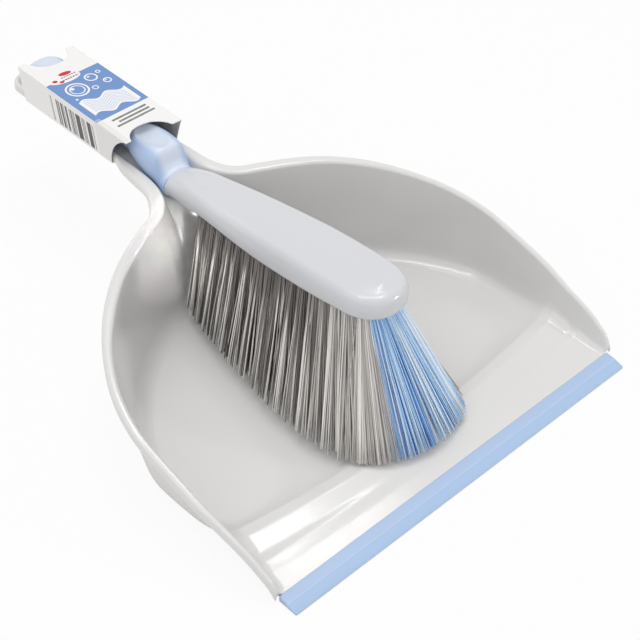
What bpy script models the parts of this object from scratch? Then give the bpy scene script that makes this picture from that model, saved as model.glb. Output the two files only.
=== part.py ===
"""Dust pan and hand brush held together by a carton sleeve.

Metres, +Z up, the table at z = 0.  X runs across the pan, Y from the lip to
the end of the handles; x = 0 is the middle plane.  Lengths along Y are given
from the lip's front edge, and an empty then carries the whole set, so that the
origin is on the table under the middle of the pan's well.
"""
import math

import bmesh
import bpy
import numpy as np
from mathutils import Matrix

MM = 0.001

# ---- clearances -----------------------------------------------------------
GAP = 0.3 * MM             # between two pieces that touch
TUFT_GAP = 0.5 * MM        # between the tips of two neighbouring tufts

REST_Y = 120.0 * MM        # middle of the well's flat underside: the origin

# ---- pan ------------------------------------------------------------------
WALL = 2.0 * MM            # thickness of floor and walls
PAN_HALF = 118.0 * MM      # inside of the rim at its widest, from x = 0
LIP_HALF = PAN_HALF - 3.0 * MM       # half length of the soft lip
LIP_DEPTH = 11.2 * MM
LIP_HIGH = 3.4 * MM        # lip and front of the ramp
RIB_HALF = LIP_HALF - 3.0 * MM       # the pan's rib in the lip's groove
RIB_Y, RIB_LOW, RIB_HIGH = 5.0 * MM, 1.55 * MM, 2.35 * MM
CREST_Y = 42.5 * MM        # top of the crest on the middle plane
CREST_BOW = 9.5 * MM       # the crest bows towards the lip
CREST_HIGH = 8.0 * MM
CREST_FLAT = 6.5 * MM      # rounded top of the crest, along Y
CREST_FALL = 17.0 * MM     # from the crest down to the well's floor
RIM_FRONT = 6.0 * MM       # rim where the walls end at the lip
FOOT_FILLET = 10.0 * MM
RAMP_FILLET = 3.5 * MM
FLANGE_SIDE = 4.2 * MM     # rolled flange along the sides
FLANGE_BACK = 8.0 * MM     # and round the back
FLANGE_DROP = 4.0 * MM
FLANGE_EDGE = 1.4 * MM

# ---- pan handle -----------------------------------------------------------
TRAY_HALF = 12.8 * MM      # inside of the tray's edge
TRAY_FLOOR = 63.4 * MM
TRAY_UNDER = TRAY_FLOOR - 1.8 * MM
TRAY_RIM = TRAY_FLOOR + 2.4 * MM
TRAY_FLANGE = 2.9 * MM
TRAY_END = 350.0 * MM      # end of the pan's handle
NECK_Y = 212.0 * MM        # where the walls run into the handle
RIM_HIGH = TRAY_FLOOR - 1.4 * MM     # rim at the back of the well
WELL_BACK = NECK_Y - 21.0 * MM       # foot of the back wall

# ---- brush ----------------------------------------------------------------
# it rides in the pan's handle, so its heights are given above the tray's floor
COLLAR_Y = NECK_Y + 4.0 * MM         # joint of head and grip
TOE_Y = 53.8 * MM
HEAD_HALF = 18.0 * MM                # at its widest, near the toe
NECK_HALF = TRAY_HALF - 2.5 * MM     # at the collar
NECK_POWERS = 3.0, 2.1               # squareness of the neck below and above
HEAD_CROWN = 1.1 * MM
TIP_Z = CREST_HIGH + 1.5 * MM        # bristle tips, clear of the crest
GRIP_HALF = TRAY_HALF - 1.6 * MM
GRIP_TOP = TRAY_FLOOR + 18.0 * MM
GRIP_END = TRAY_END - 8.5 * MM
PAD_Y = COLLAR_Y + 20.3 * MM         # thumb pad
PAD_LONG = 13.4 * MM
PAD_HALF = NECK_HALF - 2.1 * MM
TONGUE_HALF = 5.0 * MM               # core inside the grip
TONGUE_THICK = 6.0 * MM
TONGUE_END = GRIP_END - 23.5 * MM

# ---- tufts ----------------------------------------------------------------
SIDE_COLUMNS = 15          # tufts along each outer row, one fewer in the middle
TOE_TUFTS = 5
TOE_GREY = 1               # of them, grey ones at the -X corner
TUFT_R = 1.6 * MM
TUFT_SIDES = 8
HOLE_DEEP = 5.0 * MM

# ---- carton sleeve --------------------------------------------------------
CARD = 0.5 * MM
SLEEVE_Y0 = NECK_Y + 22.0 * MM          # behind the thumb pad
SLEEVE_Y1 = TRAY_END - 20.0 * MM
# section's upper corners, seen from the lip, about the tray and the grip
SLEEVE_TL = (-TRAY_HALF - TRAY_FLANGE - 3.2 * MM, GRIP_TOP + 3.9 * MM)
SLEEVE_TR = (TRAY_HALF + TRAY_FLANGE + 2.8 * MM, GRIP_TOP + 0.6 * MM)
SLEEVE_LEAN = 2.1 * MM                  # the side walls lean towards +X
SLEEVE_SIDE = GRIP_TOP - TRAY_UNDER + 4.6 * MM
SLEEVE_CORNER = 0.9 * MM
ARCH_HALF, ARCH_DEEP = 13.5 * MM, 9.5 * MM
SIDE_ARCH = 18.0 * MM
SLANT = 10.0 * MM


# ---- small helpers ---------------------------------------------------------
def slopes(t, y, monotone):
    """Tangents of a cubic through the points y at t, held back where monotone."""
    h = np.diff(t)
    d = np.diff(y) / h
    m = np.empty(len(y))
    m[0], m[-1] = d[0], d[-1]
    for i in range(1, len(y) - 1):
        m[i] = (h[i] * d[i - 1] + h[i - 1] * d[i]) / (h[i] + h[i - 1])
        if monotone:
            if d[i - 1] * d[i] <= 0:
                m[i] = 0.0
            else:
                lim = 3 * min(abs(d[i - 1]), abs(d[i]))
                m[i] = math.copysign(min(abs(m[i]), lim), m[i])
    return m


def curve(t, y, at, monotone=True):
    """Cubic Hermite interpolation of y(t) at the given places."""
    t, y, at = (np.asarray(v, float) for v in (t, y, at))
    m = slopes(t, y, monotone)
    i = np.clip(np.searchsorted(t, at, side="right") - 1, 0, len(t) - 2)
    h = t[i + 1] - t[i]
    s = (at - t[i]) / h
    return ((1 + 2 * s) * (1 - s) ** 2 * y[i] + s * (1 - s) ** 2 * h * m[i]
            + s * s * (3 - 2 * s) * y[i + 1] + s * s * (s - 1) * h * m[i + 1])


def smooth(x, lo, hi):
    s = np.clip((np.asarray(x, float) - lo) / (hi - lo), 0, 1)
    return s * s * (3 - 2 * s)


def unit(v):
    return v / np.maximum(np.linalg.norm(v, axis=-1, keepdims=True), 1e-12)


def material(name, colour, rough, **extra):
    mat = bpy.data.materials.new(name)
    mat.use_nodes = True
    bsdf = mat.node_tree.nodes["Principled BSDF"]
    bsdf.inputs["Base Color"].default_value = (*colour, 1)
    bsdf.inputs["Roughness"].default_value = rough
    for key, val in extra.items():
        bsdf.inputs[key.replace("_", " ")].default_value = val
    mat.diffuse_color = (*colour, 1)
    return mat


def collection(name):
    col = bpy.data.collections.new(name)
    bpy.context.scene.collection.children.link(col)
    return col


def new_object(name, verts, faces, col, mat=None):
    mesh = bpy.data.meshes.new(name)
    mesh.from_pydata([tuple(v) for v in verts], [], [tuple(f) for f in faces])
    mesh.update()
    if mat:
        mesh.materials.append(mat)
    obj = bpy.data.objects.new(name, mesh)
    col.objects.link(obj)
    return obj


def outward(obj):
    bm = bmesh.new()
    bm.from_mesh(obj.data)
    bmesh.ops.recalc_face_normals(bm, faces=bm.faces)
    bm.to_mesh(obj.data)
    bm.free()


def cutter(obj):
    obj.hide_render = True
    obj.display_type = "WIRE"
    return obj


def boolean(obj, other, operation):
    mod = obj.modifiers.new(operation.lower(), "BOOLEAN")
    mod.operation = operation
    mod.solver = "EXACT"
    mod.object = other


def mirror_x(obj):
    mod = obj.modifiers.new("mirror", "MIRROR")
    mod.use_axis = (True, False, False)
    mod.use_clip = True
    mod.merge_threshold = 0.00002


def grid_faces(rows, cols, at=0, flip=False):
    out = []
    for i in range(rows - 1):
        for j in range(cols - 1):
            a = at + i * cols + j
            f = (a, a + 1, a + cols + 1, a + cols)
            out.append(f[::-1] if flip else f)
    return out


def loft(name, rings, col, mat):
    """Closed solid through equal rings of points, flat at both ends."""
    rings = np.asarray(rings)
    n, m = rings.shape[:2]
    faces = [tuple(range(m))[::-1], tuple(range((n - 1) * m, n * m))]
    for i in range(n - 1):
        for j in range(m):
            k = (j + 1) % m
            faces.append((i * m + j, i * m + k, (i + 1) * m + k, (i + 1) * m + j))
    obj = new_object(name, rings.reshape(-1, 3), faces, col, mat)
    outward(obj)
    return obj


def block(name, lo, hi, col):
    """Box between two corners."""
    lo, hi = np.array(lo), np.array(hi)
    bm = bmesh.new()
    bmesh.ops.create_cube(bm, size=1.0, matrix=Matrix.Translation((lo + hi) / 2)
                          @ Matrix.Diagonal((*(hi - lo), 1.0)))
    mesh = bpy.data.meshes.new(name)
    bm.to_mesh(mesh)
    bm.free()
    obj = bpy.data.objects.new(name, mesh)
    col.objects.link(obj)
    return obj


# ---- pan --------------------------------------------------------------------
def pan_rows():
    """Control stations from the end of the handle, along one side, to the lip.

    Each holds the rim's inner edge (x, y, z), the foot of the wall (x, y, z),
    the point on the middle plane (y, z), the flange's width and how many
    steps lead to the next station.
    """
    h, t = TRAY_HALF, TRAY_FLOOR
    end = TRAY_END - TRAY_FLANGE - 0.6 * MM
    f, w, b = h - 1.4 * MM, PAN_HALF, WELL_BACK
    n, c = NECK_Y, WALL
    r = RIM_HIGH
    tf, fb, fs = TRAY_FLANGE, FLANGE_BACK, FLANGE_SIDE
    m = MM
    crest = CREST_Y + CREST_BOW
    q = PAN_HALF / (118 * m)           # widths follow the pan's half width,
    e = (n - crest) / (160 * m) * m    # lengths the way from crest to handle,
    v = (r - RIM_FRONT) / (56 * m) * m  # and the rim's fall its height
    flat = CREST_FLAT
    ramp = LIP_DEPTH + GAP
    ch, lh = CREST_HIGH, LIP_HIGH
    rows = [
        # rim x, y, z              foot x, y, z                    middle y, z     flange  steps
        (0, end, TRAY_RIM, 0, end - 1.6 * m, t, end - 4 * m, t, tf, 2),
        (h - 4 * m, end - 0.8 * m, TRAY_RIM, f - 3.4 * m, end - 2.4 * m, t, end - 5 * m, t, tf, 2),
        (h, end - 7 * m, TRAY_RIM, f, end - 7.3 * m, t, end - 9 * m, t, tf, 2),
        (h, n + 40 * m, TRAY_RIM, f, n + 40 * m, t, n + 40 * m, t, tf, 2),
        (h, n + 29 * m, TRAY_RIM, f - 0.2 * m, n + 28 * m, t - 2.2 * m, n + 27 * m, t - 2.2 * m,
         0.55 * (tf + fb), 2),
        (h + 0.4 * m, n + 14 * m, TRAY_RIM - 0.3 * m, f - 0.4 * m, n + 13 * m, t - 8 * m,
         n + 12.5 * m, t - 8.4 * m, fb - 0.6 * m, 2),
        (h + 2.0 * m, n + 2 * m, TRAY_RIM - 1 * m, f - 0.4 * m, n, t - 14.6 * m,
         n - 1 * m, t - 15.6 * m, fb - 0.6 * m, 2),
        (h + 4.6 * m, n - 4.6 * m, r + 1.8 * m, f - 0.2 * m, b + 13 * m, 0.56 * t,
         b + 11.8 * m, 0.54 * t, fb, 2),
        (h + 8.5 * m, n - 10 * m, r + 1.0 * m, f + 0.8 * m, b + 7 * m, 0.27 * t,
         b + 5.4 * m, 0.24 * t, fb, 2),
        (h + 14 * m, n - 14.6 * m, r + 0.4 * m, f + 6.5 * m, b + 1.5 * m, c + 2.2 * m,
         b - 3 * m, c + 1.2 * m, fb, 2),
        (h + 23 * m, n - 19 * e, r, 30 * q * m, b - 5 * e, c, b - 16 * e, c, fb, 3),
        (52 * q * m, n - 26.6 * e, r - 0.8 * v, 48 * q * m, b - 13.5 * e, c, b - 34 * e, c,
         fb - 0.2 * m, 3),
        (68.5 * q * m, n - 36 * e, r - 2.2 * v, 65.5 * q * m, b - 24 * e, c, b - 52 * e, c,
         fb - 1.2 * m, 3),
        (86 * q * m, n - 50.5 * e, r - 5.6 * v, 81.5 * q * m, b - 38 * e, c, b - 69 * e, c,
         0.5 * (fb + fs), 3),
        (101 * q * m, n - 67.5 * e, r - 10.5 * v, 95.5 * q * m, b - 56 * e, c, b - 86 * e, c,
         fs + 0.6 * m, 3),
        (w - 5.2 * m, n - 90 * e, r - 16.3 * v, 107 * q * m, b - 78 * e, c, b - 103 * e, c,
         fs + 0.2 * m, 3),
        (w, n - 116 * e, r - 22.8 * v, w - 4.8 * m, b - 98 * e, c, b - 119 * e, c, fs, 3),
        (w + 0.2 * m, n - 138 * e, r - 28.4 * v, w - 4.6 * m, crest + CREST_FALL + 3 * m, c,
         CREST_Y + CREST_FALL + 2 * m, c, fs, 2),
        (w + 0.1 * m, crest + 9 * m, r - 32 * v, w - 5.4 * m, crest + 9 * m, c + 0.28 * (ch - c),
         CREST_Y + 8.5 * m, c + 0.26 * (ch - c), fs, 3),
        (w - 0.3 * m, crest - 0.5 * m, r - 35 * v, w - 7 * m, crest, ch, CREST_Y, ch,
         fs - 0.5 * m, 2),
        (w - 0.7 * m, crest - flat, r - 37 * v, w - 7 * m, crest - flat, ch, CREST_Y - flat, ch - 0.1 * m,
         fs - 0.8 * m, 3),
        (w - 2.0 * m, ramp + 10 * m, 16 * m, w - 5.6 * m, ramp + 10 * m, lh + 1.3 * m,
         ramp + 8 * m, lh + 1.1 * m, fs - 1.3 * m, 2),
        (w - 2.6 * m, ramp + 2.6 * m, 10.4 * m, w - 5.0 * m, ramp + 2.6 * m, lh + 0.35 * m,
         ramp + 2.2 * m, lh + 0.3 * m, fs - 1.5 * m, 1),
        (w - 3.0 * m, ramp, RIM_FRONT, w - 4.8 * m, ramp, lh, ramp, lh, fs - 1.6 * m, 0),
    ]
    return np.array([x[:9] for x in rows]), [x[9] for x in rows]


def pan_stations():
    rows, steps = pan_rows()
    chord = np.hypot(*np.diff(rows[:, :2], axis=0).T) + np.abs(np.diff(rows[:, 6]))
    t = np.r_[0, np.cumsum(chord)]
    at = np.concatenate([np.linspace(t[i], t[i + 1], n, endpoint=False)
                         for i, n in enumerate(steps[:-1])] + [[t[-1]]])
    out = np.stack([curve(t, rows[:, k], at) for k in range(9)], 1)
    out[0, [0, 3]] = 0
    return out


def across(st, n):
    """Upper skin of the pan on one station, from the flange's edge to x = 0."""
    rx, ry, rz, bx, by, bz, sy, sz, w = st
    rim, foot = np.array([rx, ry, rz]), np.array([bx, by, bz])
    out, up = np.array([*n, 0.0]), np.array([0, 0, 1.0])
    prof = ((1.0, -1.0), (0.97, -0.5), (0.82, -0.06), (0.5, 0.12), (0.2, 0.09), (0.0, 0.0))
    pts = [rim + out * a * w + up * b * FLANGE_DROP for a, b in prof]
    # the wall, then a parabolic fillet into the floor
    wall = foot - rim
    length = np.linalg.norm(wall)
    flat = np.array([-bx, -2 * (by - sy), -2 * (bz - sz)])
    run = np.linalg.norm(flat)
    flat = flat / max(run, 1e-9)
    near = RAMP_FILLET + (FOOT_FILLET - RAMP_FILLET) * float(
        smooth(by, CREST_Y + CREST_BOW, CREST_Y + CREST_BOW + CREST_FALL))
    lf = min(near, 0.45 * length, 0.3 * run if bx else 0.35 * run)
    a0 = foot - wall / length * lf
    for k in (0.36, 0.72):
        pts.append(rim + (a0 - rim) * k)
    a2 = foot + flat * lf
    for s in (0.0, 0.25, 0.5, 0.75, 1.0):
        pts.append((1 - s) ** 2 * a0 + 2 * s * (1 - s) * foot + s * s * a2)
    # floor to the middle plane, square to it
    last = pts[-1]
    s_end = np.array([0, sy, sz])
    for s in (0.8, 0.6, 0.4, 0.2, 0.0):
        x = last[0] * s
        pts.append(np.array([x, sy + (last[1] - sy) * s * s, sz + (last[2] - sz) * s * s]))
    pts[-1] = s_end
    return pts


def pan_grid():
    st = pan_stations()
    d = np.gradient(st[:, :2], axis=0)
    nrm = unit(np.stack([d[:, 1], -d[:, 0]], 1)) * -1
    nrm[0] = (0, 1)
    nrm[-1] = (1, 0)
    top = np.array([across(s, n) for s, n in zip(st, nrm)])
    return st, nrm, top


def under_skin(st, nrm, top):
    """Lower skin: the upper one moved along its normals, with a flange of its own."""
    du = np.gradient(top, axis=0)
    dv = np.gradient(top, axis=1)
    normal = unit(np.cross(du, dv))
    normal[normal[..., 2] < 0] *= -1
    normal[:, -1, 0] = 0
    normal[0, :, 0] = 0
    normal = unit(normal)
    low = top - normal * WALL
    up = np.array([0, 0, 1.0])
    for i, (s, n) in enumerate(zip(st, nrm)):
        rim, out, w = s[:3], np.array([*n, 0.0]), s[8]
        first = WALL + 0.05 * MM
        last = max(w - FLANGE_EDGE, w - 0.35 * (w - first))
        room = last - first
        hollow = (FLANGE_DROP - 1.6 * MM) * float(smooth(room, 0.6 * MM, 3.0 * MM))
        shape = ((0, 0), (0.08, 0.6), (0.28, 0.95), (0.5, 1.0), (0.75, 0.95), (1.0, 0.6))
        for j, (a, b) in enumerate(shape):
            low[i, j] = rim + out * (last - room * a) + up * (hollow * b - FLANGE_DROP)
    # the tray is flat underneath
    tray = smooth(st[:, 5], TRAY_FLOOR - 2 * MM, TRAY_FLOOR)[:, None]
    flat = low[:, 6:, 2] * (1 - tray) + TRAY_UNDER * tray
    low[:, 6:, 2] = flat
    return low


def build_pan(col, cut, mat):
    st, nrm, top = pan_grid()
    low = under_skin(st, nrm, top)
    n, m = top.shape[:2]
    verts = np.concatenate([top.reshape(-1, 3), low.reshape(-1, 3)])
    faces = grid_faces(n, m) + grid_faces(n, m, n * m, flip=True)
    k = n * m
    for i in range(n - 1):                       # edge of the flange
        a, b = i * m, (i + 1) * m
        faces.append((a, b, b + k, a + k))
    for j in range(m - 1):                       # front edge behind the lip
        a, b = (n - 1) * m + j, (n - 1) * m + j + 1
        faces.append((a, b, b + k, a + k))
    pan = new_object("pan", verts, faces, col, mat)
    mirror_x(pan)
    rib = block("pan_rib", (-RIB_HALF, RIB_Y, RIB_LOW), (RIB_HALF, LIP_DEPTH + 2.5 * MM, RIB_HIGH), cut)
    boolean(pan, cutter(rib), "UNION")
    return pan


def build_lip(col, cut, mat):
    """Soft lip: flat band, bevelled front edge, groove for the pan's rib."""
    d, h = LIP_DEPTH, LIP_HIGH
    prof = [(0.0, 0.0), (0.0, 0.7 * MM), (0.25 * MM, 0.95 * MM), (5.9 * MM, 2.85 * MM),
            (6.5 * MM, 3.0 * MM), (d - 0.3 * MM, h), (d, h - 0.3 * MM), (d, 0.0)]
    rings = []
    for x, inset in ((-1, 1.2), (-0.995, 0.35), (-0.985, 0.0), (0.985, 0.0), (0.995, 0.35), (1, 1.2)):
        ring = []
        for y, z in prof:
            s = inset * MM
            ring.append((x * LIP_HALF, min(max(y, s), d), z * (1 - 0.12 * inset)))
        rings.append(ring)
    lip = loft("lip", rings, col, mat)
    groove = block("lip_groove", (-RIB_HALF - GAP, RIB_Y - GAP, RIB_LOW - GAP),
                   (RIB_HALF + GAP, d + 2 * MM, RIB_HIGH + GAP), cut)
    boolean(lip, cutter(groove), "DIFFERENCE")
    return lip


# ---- brush ------------------------------------------------------------------
def head_share(y):
    """0 at the toe, 1 at the collar."""
    return (np.asarray(y, float) - TOE_Y) / (COLLAR_Y - TOE_Y)


def head_half(y):
    """Half width of the head in plan, without the round of the toe."""
    at = np.array([0.125, 0.235, 0.36, 0.482, 0.605, 0.729, 0.827, 0.914, 1.0])
    part = np.array([0.978, 1.0, 0.983, 0.939, 0.872, 0.783, 0.689, 0.633, NECK_HALF / HEAD_HALF])
    return HEAD_HALF * curve(at, part, np.clip(head_share(y), at[0], at[-1]))


def head_top(y):
    at = [0, 0.069, 0.162, 0.236, 0.36, 0.482, 0.605, 0.729, 0.827, 0.914, 0.963, 1.0]
    up = np.array([22.8, 23.1, 22.8, 22.0, 20.5, 18.2, 15.8, 13.1, 11.1, 9.0, 7.1, 4.8]) * MM
    return TRAY_FLOOR + curve(at, up, head_share(y))


def head_low(y):
    at = [0, 0.131, 0.236, 0.36, 0.482, 0.605, 0.729, 0.827, 0.914, 0.963, 1.0]
    up = np.array([11.8, 9.9, 7.6, 5.1, 2.7, 1.0, -0.1, -2.0, -5.0, -7.4, -9.9]) * MM
    return TRAY_FLOOR + curve(at, up, head_share(y))


def unit_section(angles, low_power, high_power):
    """Superellipse |x|^p + |z|^p = 1, with one power below and one above."""
    c, s = np.cos(angles), np.sin(angles)
    p = np.where(s < 0, low_power, high_power)
    return np.copysign(np.abs(c) ** (2 / p), c), np.copysign(np.abs(s) ** (2 / p), s)


def head_outline():
    """Plan outline from the collar to the toe, with its outward normals."""
    share = np.array([1.0, 0.982, 0.957, 0.925, 0.89, 0.85, 0.8, 0.74, 0.665, 0.58, 0.488, 0.39,
                      0.291, 0.205, 0.137])
    side = TOE_Y + (COLLAR_Y - TOE_Y) * share
    pts = [(float(head_half(y)), y) for y in side]
    y0, r = pts[-1][1] - 1 * MM, pts[-1][0]
    ry = y0 - TOE_Y
    steps = 10
    for k in range(1, steps + 1):
        a = math.radians(90 * k / steps)
        c, s = math.cos(a), math.sin(a)
        pts.append((r * c ** 0.88 if k < steps else 0.0, y0 - ry * s ** 0.92))
    pts = np.array(pts)
    d = np.gradient(pts, axis=0)
    nrm = unit(np.stack([-d[:, 1], d[:, 0]], 1))
    nrm[0] = (1, 0)
    nrm[-1] = (0, -1)
    return pts, nrm


def tongue_rings(room):
    """Core inside the grip, or its pocket, which has room about it."""
    up = ((-5.3, -3.4), (3, -2.0), (10, 2.2), (22, 5.6))      # from the collar; middle's height
    path = [(COLLAR_Y + a * MM, TRAY_FLOOR + b * MM) for a, b in up]
    path.append((TONGUE_END + room, path[-1][1]))
    x, z = TONGUE_HALF + room, TONGUE_THICK / 2 + 1.2 * room
    return [[(-x, y, mid - z), (x, y, mid - z), (x, y, mid + z), (-x, y, mid + z)]
            for y, mid in path]


def build_head(col, cut, mat, holes):
    """Head of the brush: domed and full at the toe, round at the neck."""
    pts, nrm = head_outline()
    # inset from the outline and share of the height, low to high
    body = np.array(((3.6, 0.0), (1.3, 0.0), (0.6, 0.05), (0.2, 0.14), (0.0, 0.38), (0.8, 0.70),
                     (2.2, 0.89), (3.8, 0.965), (6.4, 1.0)))
    neck = unit_section(np.radians((-90, -62, -42, -20, 0, 25, 48, 68, 90)), *NECK_POWERS)
    middle_y = TOE_Y + 0.162 * (COLLAR_Y - TOE_Y)
    rows = []
    for (x, y), n in zip(pts, nrm):
        blend = float(smooth(head_share(y), 0.875, 0.985))
        inset = body[:, 0] * MM * (1 - blend) + x * (1 - neck[0]) * blend
        part = body[:, 1] * (1 - blend) + (1 + neck[1]) / 2 * blend
        sy = max(y, middle_y - 0.6 * (middle_y - y))
        row = [(0.0, sy, float(head_low(sy)))]
        most = 0.97 * x + body[-1, 0] * MM * float(smooth(-y, -70 * MM, -TOE_Y))
        for s, f in zip(np.minimum(inset, most), part):
            p, q = max(x - n[0] * s, 0.0), y - n[1] * s
            row.append((p, q, float(head_low(q)) * (1 - f) + float(head_top(q)) * f))
        edge = row[-1]
        ridge = (0.0, sy, float(head_top(sy)) + HEAD_CROWN * (1 - blend))
        row.append((edge[0] * 0.5, (edge[1] + 3 * sy) / 4, 0.25 * edge[2] + 0.75 * ridge[2]))
        row.append(ridge)
        rows.append(row)
    grid = np.array(rows)
    grid[-1, :, 0] = 0
    n, m = grid.shape[:2]
    faces = grid_faces(n, m)
    faces.append(tuple(range(m))[::-1])
    head = new_object("brush_head", grid.reshape(-1, 3), faces, col, mat)
    mirror_x(head)
    tongue = loft("head_tongue", tongue_rings(0.0), cut, None)
    boolean(head, cutter(tongue), "UNION")
    boolean(head, cutter(holes), "DIFFERENCE")
    return head


def build_grip(col, cut, mat):
    """Soft grip moulded over the tongue, with a dished thumb pad."""
    m, t, c = MM, TRAY_FLOOR, COLLAR_Y + GAP
    k, g, top, low, end = NECK_HALF, GRIP_HALF, GRIP_TOP, TRAY_FLOOR + GAP, GRIP_END
    pl, ph = NECK_POWERS
    pad = c + 27 * m                                   # behind the thumb pad
    r = (end - 15 * m - pad) / (83.2 * m) * m          # rest of the grip follows its length
    rows = [
        # y, half width, low, high, squareness below and above
        (c, k - 0.5 * m, t - 9.4 * m, t + 4.4 * m, pl, ph),
        (c + 0.9 * m, k, t - 9.8 * m, t + 4.7 * m, pl, ph),
        (c + 3 * m, k + 0.1 * m, t - 9.2 * m, t + 5.7 * m, pl, ph),
        (c + 4.5 * m, k + 0.2 * m, t - 8.4 * m, t + 8.4 * m, pl, 2.2),
        (c + 5.7 * m, k + 0.4 * m, t - 7.7 * m, t + 12 * m, pl, 2.4),
        (c + 6.8 * m, k + 0.6 * m, t - 7.2 * m, t + 14.5 * m, pl, 2.8),
        (c + 8.7 * m, k + 0.9 * m, t - 6.3 * m, t + 15.8 * m, pl, 3.4),
        (c + 13.5 * m, k + 1.2 * m, t - 4.9 * m, t + 16.3 * m, 3.1, 4.2),
        (c + 20 * m, k + 0.9 * m, t - 2.3 * m, t + 16.5 * m, pl, 4.4),
        (pad, k - 0.3 * m, t - 0.5 * m, t + 16.7 * m, 2.8, 4.0),
        (pad + 7 * r, k - 2 * m, low, t + 16.6 * m, 2.2, 2.6),
        (pad + 18 * r, k - 1.7 * m, low, top - 1 * m, 2.2, 2.4),
        (pad + 33 * r, g - 1.2 * m, low, top - 0.4 * m, 2.4, 2.4),
        (pad + 53 * r, g, low, top, 2.5, 2.5),
        (end - 15 * m, g, low, top - 0.6 * m, 2.5, 2.5),
        (end - 7 * m, g - 0.5 * m, low, top - 2.4 * m, 2.4, 2.4),
        (end - 3 * m, g - 1.8 * m, low + 0.8 * m, top - 4.6 * m, 2.3, 2.3),
        (end - 0.9 * m, g - 3.8 * m, low + 2.3 * m, top - 7 * m, 2.2, 2.2),
        (end, g - 6 * m, low + 4.4 * m, top - 9.2 * m, 2.2, 2.2),
    ]
    angles = np.linspace(0, 2 * math.pi, 28, endpoint=False)
    rings = []
    for y, half, lo, hi, p, q in rows:
        x, z = unit_section(angles, p, q)
        rings.append(np.stack([x * half, 0 * x + y, (lo + hi) / 2 + z * (hi - lo) / 2], 1))
    grip = loft("brush_grip", rings, col, mat)
    # the thumb pad's dish: ovals by their share of its size and height
    ovals = ((0.1, 14.2), (0.45, 14.4), (0.7, 15.1), (0.86, 16.0), (1.0, 17.2), (1.08, 19.0))
    turn = np.linspace(0, 2 * math.pi, 36, endpoint=False)
    dish = loft("pad_dish", [np.stack([PAD_HALF * s * np.cos(turn), PAD_Y + PAD_LONG * s * np.sin(turn),
                                       0 * turn + t + up * m], 1) for s, up in ovals], cut, None)
    pocket = loft("grip_pocket", tongue_rings(GAP), cut, None)
    boolean(grip, cutter(dish), "DIFFERENCE")
    boolean(grip, cutter(pocket), "DIFFERENCE")
    return grip


# ---- tufts ------------------------------------------------------------------
def root_point(u, v):
    """Where a bristle leaves the head: u across, v from the heel to the toe."""
    heel, toe = TOE_Y + 0.852 * (COLLAR_Y - TOE_Y), TOE_Y + 10.3 * MM
    y = heel + (toe - heel) * v + 4.5 * MM * smooth(v, 0.6, 1.0) * u * u
    edge = HEAD_HALF / 18 * curve([0, 0.3, 0.6, 0.85, 0.95, 1.0], [3.7, 3.8, 3.9, 4.2, 4.8, 5.4], v)
    return np.stack([u * (head_half(y) - edge), y], -1)


def tip_point(u, v):
    """Where it ends, in the plane of the tips."""
    vs = [0.0, 0.1, 0.3, 0.5, 0.7, 0.85, 0.95, 1.0]
    half = np.array([27.5, 30.5, 36.5, 41.5, 44.5, 43.6, 39.0, 34.0]) * MM
    mid = TOE_Y + (COLLAR_Y - TOE_Y) * np.array([0.803, 0.7225, 0.5315, 0.334, 0.1275, -0.0325,
                                                 -0.1435, -0.191])
    bow = np.array([-3, -2, 0, 1.5, 4, 8, 11.2, 12.6]) * MM
    return np.stack([u * curve(vs, half, v), curve(vs, mid, v) + curve(vs, bow, v) * u * u], -1)


def tuft_cells():
    """Cells (u0, u1, v0, v1, colour) that share out the field of bristles."""
    cells = []
    toe_v = 0.935
    third = (-1.0, -0.36, 0.36, 1.0)
    for row in range(3):
        count = SIDE_COLUMNS - (row == 1)
        edges = np.linspace(0.0, toe_v, count + 1)
        for a, b in zip(edges[:-1], edges[1:]):
            cells.append((third[row], third[row + 1], a, b, "grey"))
    edges = np.r_[-1, np.linspace(-0.74, 1, TOE_TUFTS)]
    for k, (a, b) in enumerate(zip(edges[:-1], edges[1:])):
        cells.append((a, b, toe_v, 1.0, "grey" if k < TOE_GREY else "blue"))
    return cells


def tuft_rings(cell):
    """Rings of one tuft: round in its hole, filling its cell at the tips."""
    u0, u1, v0, v1, _ = cell
    sides = TUFT_SIDES
    uc, vc = (u0 + u1) / 2, (v0 + v1) / 2
    ang = np.linspace(0, 2 * math.pi, sides, endpoint=False) + math.pi / sides
    ca, sa = np.cos(ang), np.sin(ang)
    root = root_point(np.array(uc), np.array(vc))
    z = float(head_low(root[1]))
    tip = tip_point(np.array(uc), np.array(vc))
    # the tip fills its cell, less the gap, as a rounded rectangle
    sq = 1 / np.maximum(np.abs(ca), np.abs(sa)) ** 0.62
    uu, vv = uc + (u1 - u0) / 2 * ca * sq * 0.93, vc + (v1 - v0) / 2 * sa * sq * 0.93
    far = tip_point(uu, vv)
    shrink = 1 - TUFT_GAP / np.maximum(np.linalg.norm(far - tip, axis=1), 1e-9)
    far = tip + (far - tip) * shrink[:, None]
    # order the round root like the rounded tip
    du = unit(far - tip)
    rings = []
    for depth in (HOLE_DEEP - GAP, -1.0 * MM):
        rings.append(np.c_[root + du * TUFT_R, np.full(sides, z + depth)])
    for f, grow in ((0.35, 0.30), (1.0, 1.0)):
        mid = root + (tip - root) * f
        near = du * TUFT_R
        ring = mid + near + ((far - tip) - near) * grow
        rings.append(np.c_[ring, np.full(sides, z + (TIP_Z - z) * f)])
    return np.array(rings)


def build_tufts(col, mats):
    for k, cell in enumerate(tuft_cells()):
        loft(f"tuft_{k + 1:02d}_{cell[4]}", tuft_rings(cell), col, mats[cell[4]])


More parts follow.
